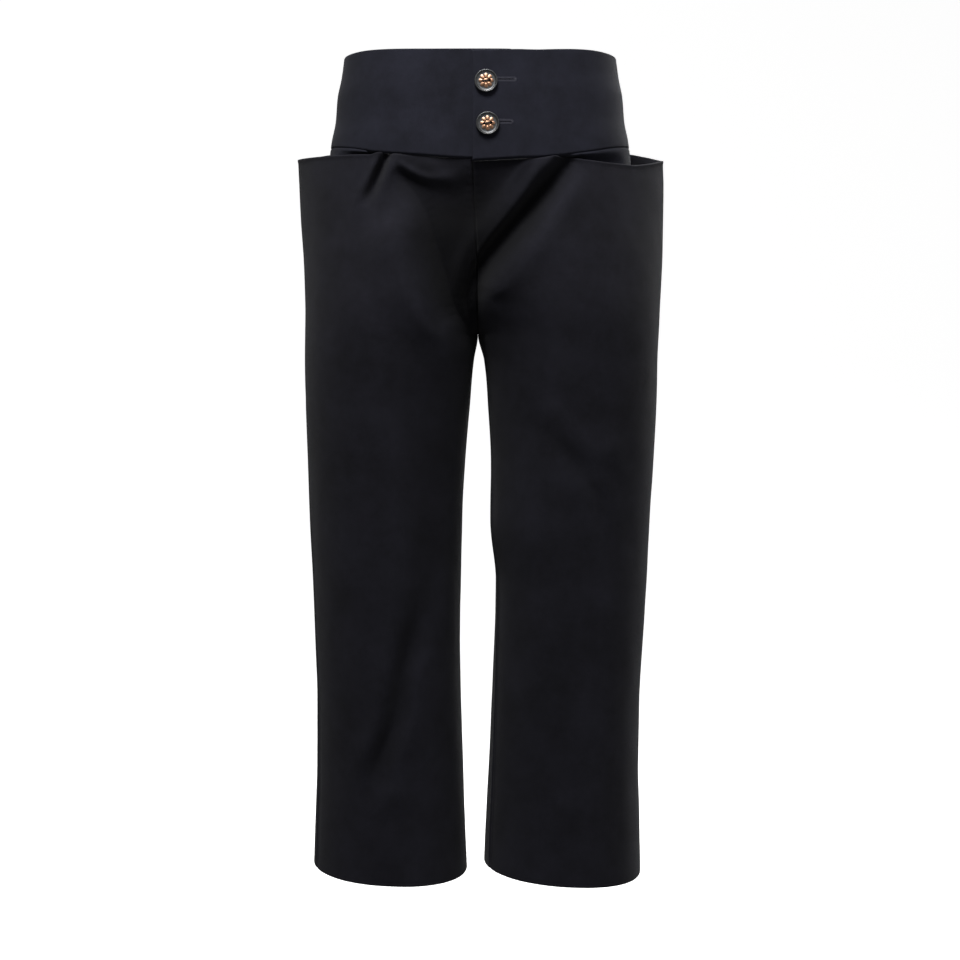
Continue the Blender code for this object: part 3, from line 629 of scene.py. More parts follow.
def fold_field(x, z, folds):
    """How deep the folds press the cloth in at each x and z. Troughs that cross run together."""
    troughs = np.zeros(x.shape)
    ridges = np.zeros(x.shape)
    for ridge_below, ridge_above, round_power, route in folds:
        points = np.array(route, float)
        run = lengths_along(points[:, :2])
        along, signed = place_on_route(x, z, points, run)
        depth, below, above = (smooth_curve(list(zip(run, points[:, at])), along) for at in (2, 3, 4))
        share = np.abs(signed / np.where(signed > 0, above, below))
        profile = np.exp(-(share**round_power)) * (1 - ramp(*FOLD_ENDS, share))
        thrown = ridge_below * bell(signed + FOLD_RIDGE_OUT * below, below)
        thrown += ridge_above * bell(signed - FOLD_RIDGE_OUT * above, above)
        troughs += np.maximum(depth * profile, 0.0) ** FOLD_JOIN_POWER
        ridges += np.minimum(depth * profile, 0.0) - np.maximum(depth, 0.0) * thrown
    return troughs ** (1 / FOLD_JOIN_POWER) + ridges


def ripples(points, height, seed, wave, stretch):
    """Soft uneven ripples of the cloth, in waves about this long and stretched in z."""
    flat = points.reshape(-1, 3) / np.array([wave, wave, wave * stretch])
    shift = Vector(seed * part for part in NOISE_SHIFT)
    values = [noise.noise(Vector(p) + shift) for p in flat.tolist()]
    return height * np.array(values).reshape(points.shape[:2])


def grid_normals(points, outward):
    normal = np.cross(np.gradient(points, axis=1), np.gradient(points, axis=0))
    length = np.linalg.norm(normal, axis=2, keepdims=True)
    return outward * normal / np.maximum(length, 1e-9)


def distance_in_mm(points, axis, from_end=False):
    """How far each point lies along a grid's axis from its first (or last) line of points."""
    gaps = np.linalg.norm(np.diff(points, axis=axis), axis=2)
    start = np.zeros_like(np.take(gaps, [0], axis=axis))
    run = np.concatenate([start, np.cumsum(gaps, axis=axis)], axis=axis)
    return np.take(run, [-1], axis=axis) - run if from_end else run


def link_piece(name, mesh, material=None):
    piece = bpy.data.objects.new(name, mesh)
    bpy.context.scene.collection.objects.link(piece)
    if material is not None:
        mesh.materials.append(material)
    return piece


def finished_mesh(name, work, outward=True):
    """The mesh of a bmesh, with its faces turned outwards, or inwards."""
    bmesh.ops.recalc_face_normals(work, faces=work.faces[:])
    if not outward:
        bmesh.ops.reverse_faces(work, faces=work.faces[:])
    mesh = bpy.data.meshes.new(name)
    work.to_mesh(mesh)
    work.free()
    return mesh


def bridge_rings(work, rings):
    """Faces from each ring of vertices to the next."""
    for a, b in zip(rings[:-1], rings[1:]):
        for i in range(len(a)):
            j = (i + 1) % len(a)
            work.faces.new((a[i], b[i], b[j], a[j]))


def rolled_edge(outer, inner, row, towards):
    """Lines of points round a shell's top or bottom edge, from its outer to its inner face."""
    middle = (outer[row] + inner[row]) / 2
    half = np.linalg.norm(outer[row] - inner[row], axis=1, keepdims=True) / 2
    way = outer[row] - outer[towards]
    way /= np.linalg.norm(way, axis=1, keepdims=True)
    across = (outer[row] - inner[row]) / np.maximum(2 * half, 1e-6)
    angles = [math.pi * step / (EDGE_ROUND_STEPS + 1) for step in range(1, EDGE_ROUND_STEPS + 1)]
    return [middle + half * (math.cos(angle) * across + math.sin(angle) * way) for angle in angles]


def round_the_edges(values):
    """Values of a shell's outer face, carried round its edges and over its inner face."""
    bottom = np.repeat(values[-1:], EDGE_ROUND_STEPS, axis=0)
    top = np.repeat(values[:1], EDGE_ROUND_STEPS, axis=0)
    return np.concatenate([values, bottom, values[::-1], top]).reshape(-1)


def closed_shell(name, outer, inner, material, hollow=None):
    """A thin closed shell of cloth. Its top and bottom edges are rolled, and its sides are folded over."""
    rows, columns = outer.shape[:2]
    bottom = rolled_edge(outer, inner, rows - 1, rows - 2)
    top = rolled_edge(outer, inner, 0, 1)[::-1]
    grid = np.array([*outer, *bottom, *inner[::-1], *top])
    index = np.arange(len(grid) * columns).reshape(len(grid), columns)
    below = np.roll(index, -1, axis=0)
    quads = np.stack([index[:, :-1], below[:, :-1], below[:, 1:], index[:, 1:]], axis=2).reshape(-1, 4)
    faces = quads.tolist()
    opposite = 2 * rows - 1 + EDGE_ROUND_STEPS
    for column in (0, columns - 1):
        line = index[:, column].tolist()
        caps = [(line[r], line[opposite - r], line[opposite - r - 1], line[r + 1]) for r in range(rows - 1)]
        caps.append((line[rows - 1], *line[rows + EDGE_ROUND_STEPS:rows - 1:-1]))
        caps.append((line[opposite], line[0], *line[:opposite:-1]))
        faces += caps if column == 0 else [cap[::-1] for cap in caps]
    mesh = bpy.data.meshes.new(name)
    mesh.from_pydata((grid.reshape(-1, 3) * MM).tolist(), [], faces)
    # Painted shade of the hollows, kept on the points for the cloth's colour
    if hollow is not None:
        mesh.attributes.new("hollow", "FLOAT", "POINT").data.foreach_set("value", round_the_edges(hollow))
    across = round_the_edges(-distance_in_mm(outer, 1, True))
    down = round_the_edges(distance_in_mm(outer, 0))
    vertices = np.zeros(len(mesh.loops), dtype=np.int32)
    mesh.loops.foreach_get("vertex_index", vertices)
    uv = np.stack([across, down], axis=1) * MM
    mesh.uv_layers.new(name="Cloth").data.foreach_set("uv", uv[vertices].reshape(-1))
    work = bmesh.new()
    work.from_mesh(mesh)
    if work.calc_volume(signed=True) < 0:
        bmesh.ops.reverse_faces(work, faces=work.faces[:])
    work.to_mesh(mesh)
    work.free()
    mesh.shade_smooth()
    mesh.set_sharp_from_angle(angle=math.radians(SHARP_CLOTH))
    return link_piece(name, mesh, material)


def soften_crotch(flat, z, steps):
    """Eases the outer part of the rings past the crotch level, where the hip becomes a leg."""
    level = z.mean(axis=1)
    weight = bell(level[:, None] - level[None, :], CROTCH_SOFTEN) * np.abs(np.gradient(level))
    weight /= weight.sum(axis=1, keepdims=True)
    eased = np.einsum("ij,jka->ika", weight, flat)
    near = np.exp(-(((level - CROTCH_LEVEL) / CROTCH_SOFTEN_REACH) ** 4))
    share = near[:, None] * ramp(*CROTCH_SOFTEN_FROM, steps)[None, :]
    return flat + share[:, :, None] * (eased - flat)


def panel_base(side, face):
    """The outer face of a leg panel with no folds, row by row from its top edge to its hem."""
    highest = SECTIONS[0][0]
    lowest = SECTIONS[-1][0]
    levels = np.arange(highest, lowest - LEVEL_STEP, -LEVEL_STEP)
    above, below = CROTCH_FINE
    near_crotch = np.arange(CROTCH_LEVEL + above, CROTCH_LEVEL - below, -CROTCH_LEVEL_STEP)
    levels = -np.unique(-np.concatenate([levels[levels > lowest], near_crotch, [lowest]]))
    steps = edge_first_steps(PANEL_COLUMNS[face], PANEL_WIDTH)
    table = ring_table(side, face, levels, steps)
    top = np.full((1, len(steps)), BAND_SEAM_LEVEL)
    for _ in range(3):
        top = panel_top(side, face, read_levels(table, levels, top)[:, :, 0])
    low = np.full((1, len(steps)), HEM_LEVEL)
    low = np.interp(read_levels(table, levels, low)[:, :, 0], HEM_ENDS[NAMES[side]], HEMS[NAMES[side]])
    hip = edge_first_steps(HIP_ROWS, HIP_HEIGHT)[:, None]
    hip = 1 - (1 - hip) * (1 - CROTCH_CROWDING * hip**HIP_CROWDING_POWER)
    leg = edge_first_steps(LEG_ROWS, LEG_HEIGHT)[1:, None]
    leg = leg * (1 - CROTCH_CROWDING * (1 - leg) ** LEG_CROWDING_POWER)
    z = np.concatenate([top + hip * (CROTCH_LEVEL - top), CROTCH_LEVEL + leg * (low - CROTCH_LEVEL)])
    flat = soften_crotch(read_levels(table, levels, z), z, steps)
    return np.dstack([side * flat[:, :, 0], flat[:, :, 1], z])


def pair_normals(side, shapes):
    """Normals of a side's front and back panels, the same on both sides of their seams."""
    front = grid_normals(shapes["front"], -side)
    back = grid_normals(shapes["back"], side)
    hip = len(front) - LEG_ROWS - 1
    front[:hip, 0, 0] = 0.0
    back[:hip, 0, 0] = 0.0
    for edge, rows in ((-1, slice(None)), (0, slice(hip, None))):
        both = front[rows, edge] + back[rows, edge]
        front[rows, edge] = both
        back[rows, edge] = both
    front /= np.linalg.norm(front, axis=2, keepdims=True)
    back /= np.linalg.norm(back, axis=2, keepdims=True)
    return {"front": front, "back": back}


def fold_in(points, face):
    """Presses a panel's folds straight in, fading towards its seams, and gives the painted shade of its
    hollows there.
    """
    clear = ramp(0.0, FOLD_SIDE_CLEAR, distance_in_mm(points, 1, True))
    on_leg = 1 - ramp(*FOLD_LEG_FROM, points[:, :, 2] - CROTCH_LEVEL)
    clear = clear * (1 - on_leg * (1 - ramp(0.0, FOLD_INNER_CLEAR, distance_in_mm(points, 1))))
    pressed = fold_field(points[:, :, 0], points[:, :, 2], FOLDS[face]) * clear
    inward = np.array([0.0, 1.0 if face == "front" else -1.0, 0.0])
    hollow = np.clip(pressed / PAINTED_SHADE_DEPTH, 0.0, 1.0) ** PAINTED_SHADE_POWER
    return points + inward * pressed[:, :, None], hollow


def panel_relief(side, face, points):
    """Ripples, sunk seams and lifted rim of a leg panel, and the painted shade along its centre seam."""
    from_inner = distance_in_mm(points, 1)
    from_side = distance_in_mm(points, 1, True)
    from_top = distance_in_mm(points, 0)
    z = points[:, :, 2]
    quiet = ramp(0.0, LEG_RIPPLE_CLEAR, from_inner) * ramp(0.0, LEG_RIPPLE_CLEAR, from_side)
    quiet = quiet * ramp(0.0, LEG_RIPPLE_TOP_CLEAR, from_top)
    uneven = sum(ripples(points, height, seed + side, *waves) for height, seed, *waves in LEG_RIPPLES)
    on_hip = ramp(CROTCH_LEVEL, CROTCH_LEVEL + CENTRE_DIP_BLEND, z)
    roll = (1 + CENTRE_DIP_MORE * on_hip) * bell(from_inner, SEAM_DIP_WIDTH)
    roll = roll + bell(from_side, SEAM_DIP_WIDTH)
    ridge = bell(from_inner - SEAM_RIDGE_OUT, SEAM_RIDGE_WIDTH)
    ridge = ridge + bell(from_side - SEAM_RIDGE_OUT, SEAM_RIDGE_WIDTH)
    ridge *= SEAM_RIDGE * (1 - ramp(*SEAM_RIDGE_FROM, z - CROTCH_LEVEL))
    ridge *= ramp(0.0, SEAM_RIDGE_HEM_CLEAR, distance_in_mm(points, 0, True))
    begin = RIM_START[(NAMES[side], face)]
    at_seam = 1 - ramp(begin - WAIST_SEAM_END, begin + WAIST_SEAM_END, np.abs(points[:, :, 0]))
    pressed = np.maximum(SEAM_DIP * roll, WAIST_DIP * at_seam * bell(from_top, WAIST_DIP_WIDTH))
    lip = RIM_LIP * (1 - at_seam) * bell(from_top, RIM_LIP_WIDTH)
    # The second value is the painted shade along the centre seam of the hips
    return uneven * quiet + lip + ridge - pressed, on_hip * bell(from_inner, SEAM_SHADE_WIDTH)


def panel_cloth(side, face, points):
    """How thick a leg panel is: thicker where its hem is turned up and where its rim is faced."""
    from_hem = distance_in_mm(points, 0, True)
    from_top = distance_in_mm(points, 0)
    begin = RIM_START[(NAMES[side], face)]
    at_rim = ramp(begin, begin + RIM_BLEND, np.abs(points[:, :, 0]))
    hem = 1 - ramp(HEM_TURN_UP - FACING_STEP, HEM_TURN_UP + FACING_STEP, from_hem)
    facing = at_rim * (1 - ramp(RIM_FACING - FACING_STEP, RIM_FACING + FACING_STEP, from_top))
    return LEG_CLOTH + HEM_EXTRA * hem + RIM_EXTRA * facing


def panel_pair(side, material):
    """The front and back leg panels of one side."""
    shapes = {face: panel_base(side, face) for face in FOLDS}
    normals = pair_normals(side, shapes)
    painted_shades = {}
    for face in FOLDS:
        points, hollow = fold_in(shapes[face], face)
        relief, seam_shade = panel_relief(side, face, points)
        shapes[face] = points + normals[face] * relief[:, :, None]
        # Painted shade of the fold hollows and of the centre seam, carried to the cloth's colour
        painted_shades[face] = np.maximum(hollow, seam_shade)
    normals = pair_normals(side, shapes)
    made = {}
    for face, points in shapes.items():
        node = f"{face}_{NAMES[side]}"
        inner = points - normals[face] * panel_cloth(side, face, points)[:, :, None]
        made[node] = closed_shell(node + "_cloth", points, inner, material, painted_shades[face])
    return made


def band_table(face, first, last, levels, steps):
    """Points of the waistband's ring at each level, from x = first to x = last. 1 is a side seam."""
    points = np.zeros((len(levels), len(steps), 2))
    for i, z in enumerate(levels):
        half_width = float(band_size("half_width", z))
        xs = half_width * np.sin(np.linspace(-math.pi / 2, math.pi / 2, 2 * RING_SAMPLES + 1))
        ys = band_depth(face, xs, z) * (-1 if face == "front" else 1)
        run = lengths_along(np.stack([xs, ys], axis=1))
        begin = np.interp(first * half_width if abs(first) == 1 else first, xs, run)
        end = np.interp(last * half_width if abs(last) == 1 else last, xs, run)
        at = begin + steps * (end - begin)
        points[i, :, 0] = np.interp(at, run, xs)
        points[i, :, 1] = np.interp(at, run, ys)
    return points


def overlap_rise(x):
    return OVERLAP_RISE * (1 - ramp(*OVERLAP_RAMP, x))


def band_normals(points, face, first, last):
    """Normals of a stretch of the band, straight across at a side seam."""
    normals = grid_normals(points, -1 if face == "front" else 1)
    for edge, at_side in ((0, first == -1), (-1, last == 1)):
        if at_side:
            normals[:, edge, 1] = 0.0
    return normals / np.linalg.norm(normals, axis=2, keepdims=True)


def band_piece(name, part, face, first, last, side, material):
    """A stretch of the waistband, from its top edge down to the waist seam."""
    levels = np.arange(*BAND_LEVELS)
    steps = edge_first_steps(BAND_FINE_COLUMNS, BAND_LENGTHS[part])
    table = band_table(face, first, last, levels, steps)
    edges = []
    for curve, level in ((BAND_TOP[part], BAND_TOP_LEVEL), (BAND_SEAM[part], BAND_SEAM_LEVEL)):
        xs = read_levels(table, levels, np.full((1, len(steps)), level))[0, :, 0]
        edges.append(smooth_curve(curve, side * xs if side else np.abs(xs)))
    z = edges[0] + edge_first_steps(BAND_FINE_ROWS, BAND_HEIGHT)[:, None] * (edges[1] - edges[0])
    flat = read_levels(table, levels, z)
    points = np.dstack([flat[:, :, 0], flat[:, :, 1], z])
    normals = band_normals(points, face, first, last)
    if part == "left":
        points = points + normals * overlap_rise(points[:, :, 0])[:, :, None]
    from_first = distance_in_mm(points, 1)
    from_last = distance_in_mm(points, 1, True)
    quiet = ramp(0.0, BAND_RIPPLE_CLEAR, from_first) * ramp(0.0, BAND_RIPPLE_CLEAR, from_last)
    if part == "left":
        past_x = np.maximum(np.abs(points[:, :, 0] - BUTTON_CALM[0]) - BUTTON_CALM[1], 0.0)
        past_z = np.maximum(np.abs(points[:, :, 2]) - BUTTON_CALM[2], 0.0)
        quiet = quiet * ramp(0.0, BUTTON_CALM_BLEND, np.hypot(past_x, past_z))
    roll = bell(from_first, SEAM_DIP_WIDTH) + bell(from_last, SEAM_DIP_WIDTH)
    waist = bell(distance_in_mm(points, 0, True), WAIST_DIP_WIDTH)
    relief = ripples(points, *BAND_RIPPLE) * quiet - np.maximum(SEAM_DIP * roll, WAIST_DIP * waist)
    points = points + normals * relief[:, :, None]
    normals = band_normals(points, face, first, last)
    return closed_shell(name, points, points - normals * BAND_CLOTH, material)


def yoke_radius_table(side, levels, angles):
    """How far the inside of the hip panels lies from the centre line, by level and direction."""
    found = np.zeros((len(levels), len(angles)))
    rings = {face: half_rings(side, face, levels) for face in FOLDS}
    for row, z in enumerate(levels):
        lines = []
        for face, sign in (("front", -1), ("back", 1)):
            line = rings[face][row]
            tangent = np.gradient(line, axis=0)
            normal = np.stack([-tangent[:, 1], tangent[:, 0]], axis=1) * sign
            normal /= np.maximum(np.linalg.norm(normal, axis=1, keepdims=True), 1e-9)
            x = side * line[:, 0]
            pressed = np.maximum(fold_field(x, np.full(x.shape, z), FOLDS[face]), 0.0)
            inset = LEG_CLOTH + RIM_EXTRA + YOKE_MARGIN + pressed
            line = line - normal * inset[:, None]
            lines.append(line if face == "front" else line[::-1])
        line = np.concatenate(lines)
        direction = np.arctan2(line[:, 0], -line[:, 1])
        order = np.argsort(direction)
        found[row] = np.interp(angles, direction[order], np.hypot(*line.T)[order])
    nearby = np.min([np.roll(found, step, axis=1) for step in range(-YOKE_LOOK, YOKE_LOOK + 1)], axis=0)
    return np.min([np.roll(nearby, step, axis=0) for step in (-1, 0, 1)], axis=0)


def body_radius(angles, z):
    """The hip under the band: the band's ring, filling out downwards."""
    spread = ramp(BAND_SEAM_LEVEL, YOKE_BOTTOM, z)
    inside = YOKE_INSIDE * ramp(0.0, YOKE_TOP_BLEND, BAND_SEAM_LEVEL - z)
    size = {way: band_size(way, z) - inside + fill * spread for way, fill in HIP_FILL.items()}
    depth = np.where(np.cos(angles) > 0, size["front"], size["back"])
    across = np.abs(np.sin(angles) / size["half_width"]) ** BAND_POWER
    shape = across + np.abs(np.cos(angles) / depth) ** BAND_POWER
    return shape ** (-1 / BAND_POWER)


def yoke_piece(side, material):
    """The inner wall of a hip pocket, from the waist seam down to where it joins the hip panels."""
    label = NAMES[side]
    start = RIM_START[(label, "front")] + YOKE_PAST_RIM
    end = RIM_START[(label, "back")] + YOKE_PAST_RIM
    first = math.atan2(start, float(band_depth("front", start, BAND_SEAM_LEVEL)))
    last = math.pi - math.atan2(end, float(band_depth("back", end, BAND_SEAM_LEVEL)))
    columns, rows = YOKE_FINE
    levels = np.arange(SECTIONS[0][0], YOKE_BOTTOM - YOKE_LEVELS_PAST, -LEVEL_STEP)
    around = np.linspace(0.0, math.pi, YOKE_DIRECTIONS)
    shells = yoke_radius_table(side, levels, around)
    share = np.linspace(0.0, 1.0, columns + 1)
    angles = first + share * (last - first)
    drop = edge_first_steps(rows, BAND_SEAM_LEVEL - YOKE_BOTTOM)[:, None]
    reach = body_radius(angles, np.full(angles.shape, BAND_SEAM_LEVEL)) * np.sin(angles)
    in_front = np.cos(angles) > 0
    top = np.where(in_front, smooth_curve(BAND_SEAM[label], reach), smooth_curve(BAND_SEAM["back"], reach))
    z = top + drop * (YOKE_BOTTOM - top)
    shell = np.zeros(z.shape)
    for column, angle in enumerate(angles):
        nearest = [np.interp(angle, around, row) for row in shells]
        shell[:, column] = np.interp(-z[:, column], -levels, nearest)
    body = body_radius(angles[None, :] + 0 * z, z)
    edge = np.minimum(share, 1 - share)
    free = ramp(0.0, YOKE_EDGE_SHARE, edge) * (1 - ramp(YOKE_CLOSE_FROM, 1.0, drop))
    radius = np.minimum(shell, free * body + (1 - free) * shell)
    wide = shell[0] * np.sin(angles)
    rim = np.where(in_front, panel_top(side, "front", wide), panel_top(side, "back", wide))
    open_by = np.maximum(top - rim, 0.0)
    down = top - z
    least, most = YOKE_SHOWN_SHARE
    shown = ramp(*YOKE_SHOWN_GAP, open_by) * (1 - ramp(least * open_by, most * open_by + 0.1, down))
    radius = radius + shown * (body - radius)
    points = np.dstack([side * np.sin(angles) * radius, -np.cos(angles) * radius, z])
    normals = grid_normals(points, -side)
    height, seed, *waves = YOKE_RIPPLE
    uneven = ripples(points, height, seed + side, *waves) * ramp(0.0, YOKE_RIPPLE_FROM, drop)
    pressed = np.abs(uneven) + YOKE_DIP * bell(down, WAIST_DIP_WIDTH)
    points = points - normals * pressed[:, :, None]
    return closed_shell(f"hip_yoke_{label}_cloth", points, points - normals * YOKE_CLOTH, material)


def front_depth(x, z):
    """The y of the outside of the fronts at these x and z."""
    found = np.zeros(x.shape)
    for row in range(x.shape[0]):
        level = np.array([z[row].mean()])
        seam = float(smooth_curve(CENTRE_SEAM["front"], level[0]))
        for side in (LEFT, RIGHT):
            line = half_rings(side, "front", level)[0]
            order = np.argsort(line[:, 0])
            here = x[row] > seam if side == LEFT else x[row] <= seam
            depth = np.interp(side * x[row], line[order, 0], line[order, 1])
            found[row] = np.where(here, depth, found[row])
    return found + np.maximum(fold_field(x, z, FOLDS["front"]), 0.0)


def fly_piece(material):
    """The strip behind the hidden opening at the centre front."""
    columns, rows = FLY_FINE
    first = OVERLAP_EDGE - FLY_OVERHANG
    across = np.linspace(0.0, 1.0, columns + 1)[None, :]
    x = first + across * (UNDERLAP_END - first) + np.zeros((rows + 1, 1))
    top = float(smooth_curve(BAND_SEAM["right"], -OVERLAP_EDGE)) - FLY_TOP_DROP
    z = top + np.linspace(0.0, 1.0, rows + 1)[:, None] * (FLY_BOTTOM - top) + 0 * x
    behind = front_depth(x, z)
    looks = range(2 * FLY_LOOK + 1)
    for _ in range(2):
        wide = np.pad(behind, FLY_LOOK, mode="edge")
        behind = np.max([wide[i:i + rows + 1, j:j + columns + 1] for i in looks for j in looks], axis=0)
    points = np.dstack([x, behind + LEG_CLOTH + FLY_MARGIN, z])
    return closed_shell("fly_underlap_cloth", points, points + np.array([0.0, FLY_CLOTH, 0.0]), material)


def band_face_y(x, z):
    """The y of the outside of the upper band."""
    return -float(band_depth("front", x, z)) - float(overlap_rise(x))


def button_place(x, z):
    """Where a button sits: on the band, leaning as the band leans there."""
    rise = float(band_depth("front", x, z - BAND_LEAN_STEP) - band_depth("front", x, z + BAND_LEAN_STEP))
    lean = math.atan2(rise, 2 * BAND_LEAN_STEP)
    off = (0.0, -BUTTON_CLEARANCE * math.cos(lean), BUTTON_CLEARANCE * math.sin(lean))
    place = Vector((x, band_face_y(x, z), z)) + Vector(off)
    return Matrix.Translation(place * MM) @ Matrix.Rotation(math.pi / 2 - lean, 4, "X")


def rosette_height(radius, angle):
    """A raised rosette of petals with a domed middle, in mm above the button's sunk face."""
    petal = np.abs(np.cos(angle * ROSETTE_PETALS / 2))
    notch_power, vein_power = ROSETTE_PETAL_POWERS
    reach = ROSETTE_RADIUS * (1 - ROSETTE_NOTCH + ROSETTE_NOTCH * petal**notch_power)
    inside = np.clip(1 - (radius / reach) ** ROSETTE_EDGE_POWER, 0.0, 1.0)
    veins = ROSETTE_VEIN * petal**vein_power * ramp(*ROSETTE_VEIN_FROM, radius)
    depth, middle, width = ROSETTE_RING
    ring = depth * bell(radius - middle, width)
    dome = ROSETTE_DOME[0] * bell(radius, ROSETTE_DOME[1])
    return inside * (ROSETTE_HEIGHT + veins - ring + dome)


def button_mesh(name):
    """A turned button with a rolled rim and a raised rosette, its back on z = 0."""
    sunk, face_height = BUTTON_OUTLINE[0]
    outline = [(r, face_height) for r in np.linspace(0.0, BUTTON_RADIUS - sunk, BUTTON_RINGS)[1:]]
    outline += [(BUTTON_RADIUS - inside, height) for inside, height in BUTTON_OUTLINE[1:-1]]
    angles = np.linspace(0.0, 2 * math.pi, BUTTON_SPOKES, endpoint=False)
    work = bmesh.new()
    centre = work.verts.new((0.0, 0.0, (face_height + float(rosette_height(0.0, 0.0))) * MM))
    rings = []
    past_rim = False
    for radius, height in outline:
        on_face = not past_rim and radius < ROSETTE_RADIUS + ROSETTE_MARGIN
        ring = []
        for angle in angles:
            raised = float(rosette_height(radius, angle)) if on_face else 0.0
            spot = Vector((radius * math.cos(angle), radius * math.sin(angle), height + raised))
            ring.append(work.verts.new(spot * MM))
        rings.append(ring)
        past_rim = past_rim or radius >= BUTTON_RADIUS
    bottom = work.verts.new((0.0, 0.0, 0.0))
    bridge_rings(work, rings)
    for i in range(BUTTON_SPOKES):
        j = (i + 1) % BUTTON_SPOKES
        work.faces.new((centre, rings[0][i], rings[0][j]))
        work.faces.new((rings[-1][i], bottom, rings[-1][j]))
    mesh = finished_mesh(name, work)
    copper = mesh.attributes.new("rosette", "FLOAT", "POINT")
    for vertex, value in zip(mesh.vertices, copper.data):
        radius = math.hypot(vertex.co.x, vertex.co.y) / MM
        angle = math.atan2(vertex.co.y, vertex.co.x)
        in_front = vertex.co.z > (face_height - ROSETTE_FACE_DROP) * MM
        raised = float(rosette_height(radius, angle)) if in_front else 0.0
        value.value = float(ramp(*ROSETTE_RUBBED, raised))
    return mesh


def apply_modifiers(piece):
    """Turns a piece with live modifiers into a plain mesh."""
    depsgraph = bpy.context.evaluated_depsgraph_get()
    mesh = bpy.data.meshes.new_from_object(piece.evaluated_get(depsgraph), depsgraph=depsgraph)
    piece.modifiers.clear()
    piece.data = mesh
    mesh.name = piece.name


def cut_away(piece, shapes):
    """Cuts shapes out of a piece."""
    cutters = []
    for work in shapes:
        mesh = bpy.data.meshes.new("cutter")
        work.to_mesh(mesh)
        work.free()
        cutters.append(link_piece("cutter", mesh))
        cut = piece.modifiers.new("Cut", "BOOLEAN")
        cut.operation = "DIFFERENCE"
        cut.solver = "EXACT"
        cut.object = cutters[-1]
    apply_modifiers(piece)
    for cutter in cutters:
        bpy.data.objects.remove(cutter, do_unlink=True)


def cut_slits(band):
    """Cuts the two buttonhole slits through the upper band."""
    slits = []
    for node, (x, z) in BUTTONS.items():
        first = x + BUTTONHOLE_START
        last = BUTTONHOLE_ENDS[node]
        middle = (first + last) / 2
        work = bmesh.new()
        bmesh.ops.create_cube(work, size=1.0)
        size = Vector((last - first, 4 * BAND_CLOTH, BUTTONHOLE_SLIT)) * MM
        bmesh.ops.scale(work, verts=work.verts, vec=size)
        place = Vector((middle, band_face_y(middle, z), z + BUTTONHOLE_RAISE)) * MM
        bmesh.ops.translate(work, verts=work.verts, vec=place)
        slits.append(work)
    cut_away(band, slits)


def button_piece(node, material):
    """One button on the upper band, with its two thread holes."""
    piece = link_piece(node + "_turned", button_mesh(node + "_turned"), material)
    tilt = math.radians(BUTTON_HOLE_TILT)
    holes = []
    for sign in (-1, 1):
        work = bmesh.new()
        bmesh.ops.create_cone(
            work, cap_ends=True, segments=24, depth=4 * BUTTON_HEIGHT * MM,
            radius1=BUTTON_HOLE_RADIUS * MM, radius2=BUTTON_HOLE_RADIUS * MM,
        )
        across = sign * BUTTON_HOLE_OFFSET * MM
        way = (across * math.cos(tilt), across * math.sin(tilt), 0.0)
        bmesh.ops.translate(work, verts=work.verts, vec=way)
        holes.append(work)
    cut_away(piece, holes)
    piece.data.shade_smooth()
    piece.data.set_sharp_from_angle(angle=math.radians(SHARP_BUTTON))
    piece.data.transform(button_place(*BUTTONS[node]))
    return piece


def button_thread(node, material):
    """The sewing thread that passes between a button's two holes."""
    tilt = Matrix.Rotation(math.radians(BUTTON_HOLE_TILT), 4, "Z")
    sideways = Vector((0.0, 1.0, 0.0))
    work = bmesh.new()
    for strand in range(THREAD_STRANDS):
        beside = strand - (THREAD_STRANDS - 1) / 2
        line = []
        for share in np.linspace(-1.0, 1.0, THREAD_POINTS):
            down = max(0.0, abs(share) - THREAD_DIVE_FROM) / (1 - THREAD_DIVE_FROM)
            height = THREAD_HEIGHT + THREAD_ARCH * (1 - share**2) - THREAD_DIVE * down**THREAD_DIVE_POWER
            y = beside * THREAD_SPACING * (1 - THREAD_GATHER * abs(share))
            z = height - THREAD_SIDE_DROP * abs(beside)
            line.append(Vector((share * (BUTTON_HOLE_OFFSET + THREAD_PAST_HOLE), y, z)))
        rings = []
        for i, point in enumerate(line):
            ahead = line[min(i + 1, len(line) - 1)] - line[max(i - 1, 0)]
            up = ahead.normalized().cross(sideways).normalized()
            ring = []
            for k in range(THREAD_SIDES):
                angle = 2 * math.pi * k / THREAD_SIDES
                spot = point + THREAD_RADIUS * (math.cos(angle) * sideways + math.sin(angle) * up)
                ring.append(work.verts.new(tilt @ spot * MM))
            rings.append(ring)
        bridge_rings(work, rings)
        work.faces.new(rings[0])
        work.faces.new(rings[-1][::-1])
    mesh = finished_mesh(node + "_thread", work)
    mesh.shade_smooth()
    mesh.transform(button_place(*BUTTONS[node]))
    return link_piece(node + "_thread", mesh, material)


def add_node(tree, kind, settings=None, **inputs):
    """A node of the tree with its settings and inputs, which are values or a node and its output's name."""
    node = tree.nodes.new(kind)
    for name, value in (settings or {}).items():
        setattr(node, name, value)
    for name, value in inputs.items():
        socket = node.inputs[name.replace("_", " ")]
        if isinstance(value, tuple) and isinstance(value[0], bpy.types.Node):
            tree.links.new(value[0].outputs[value[1]], socket)
        else:
            socket.default_value = value
    return node


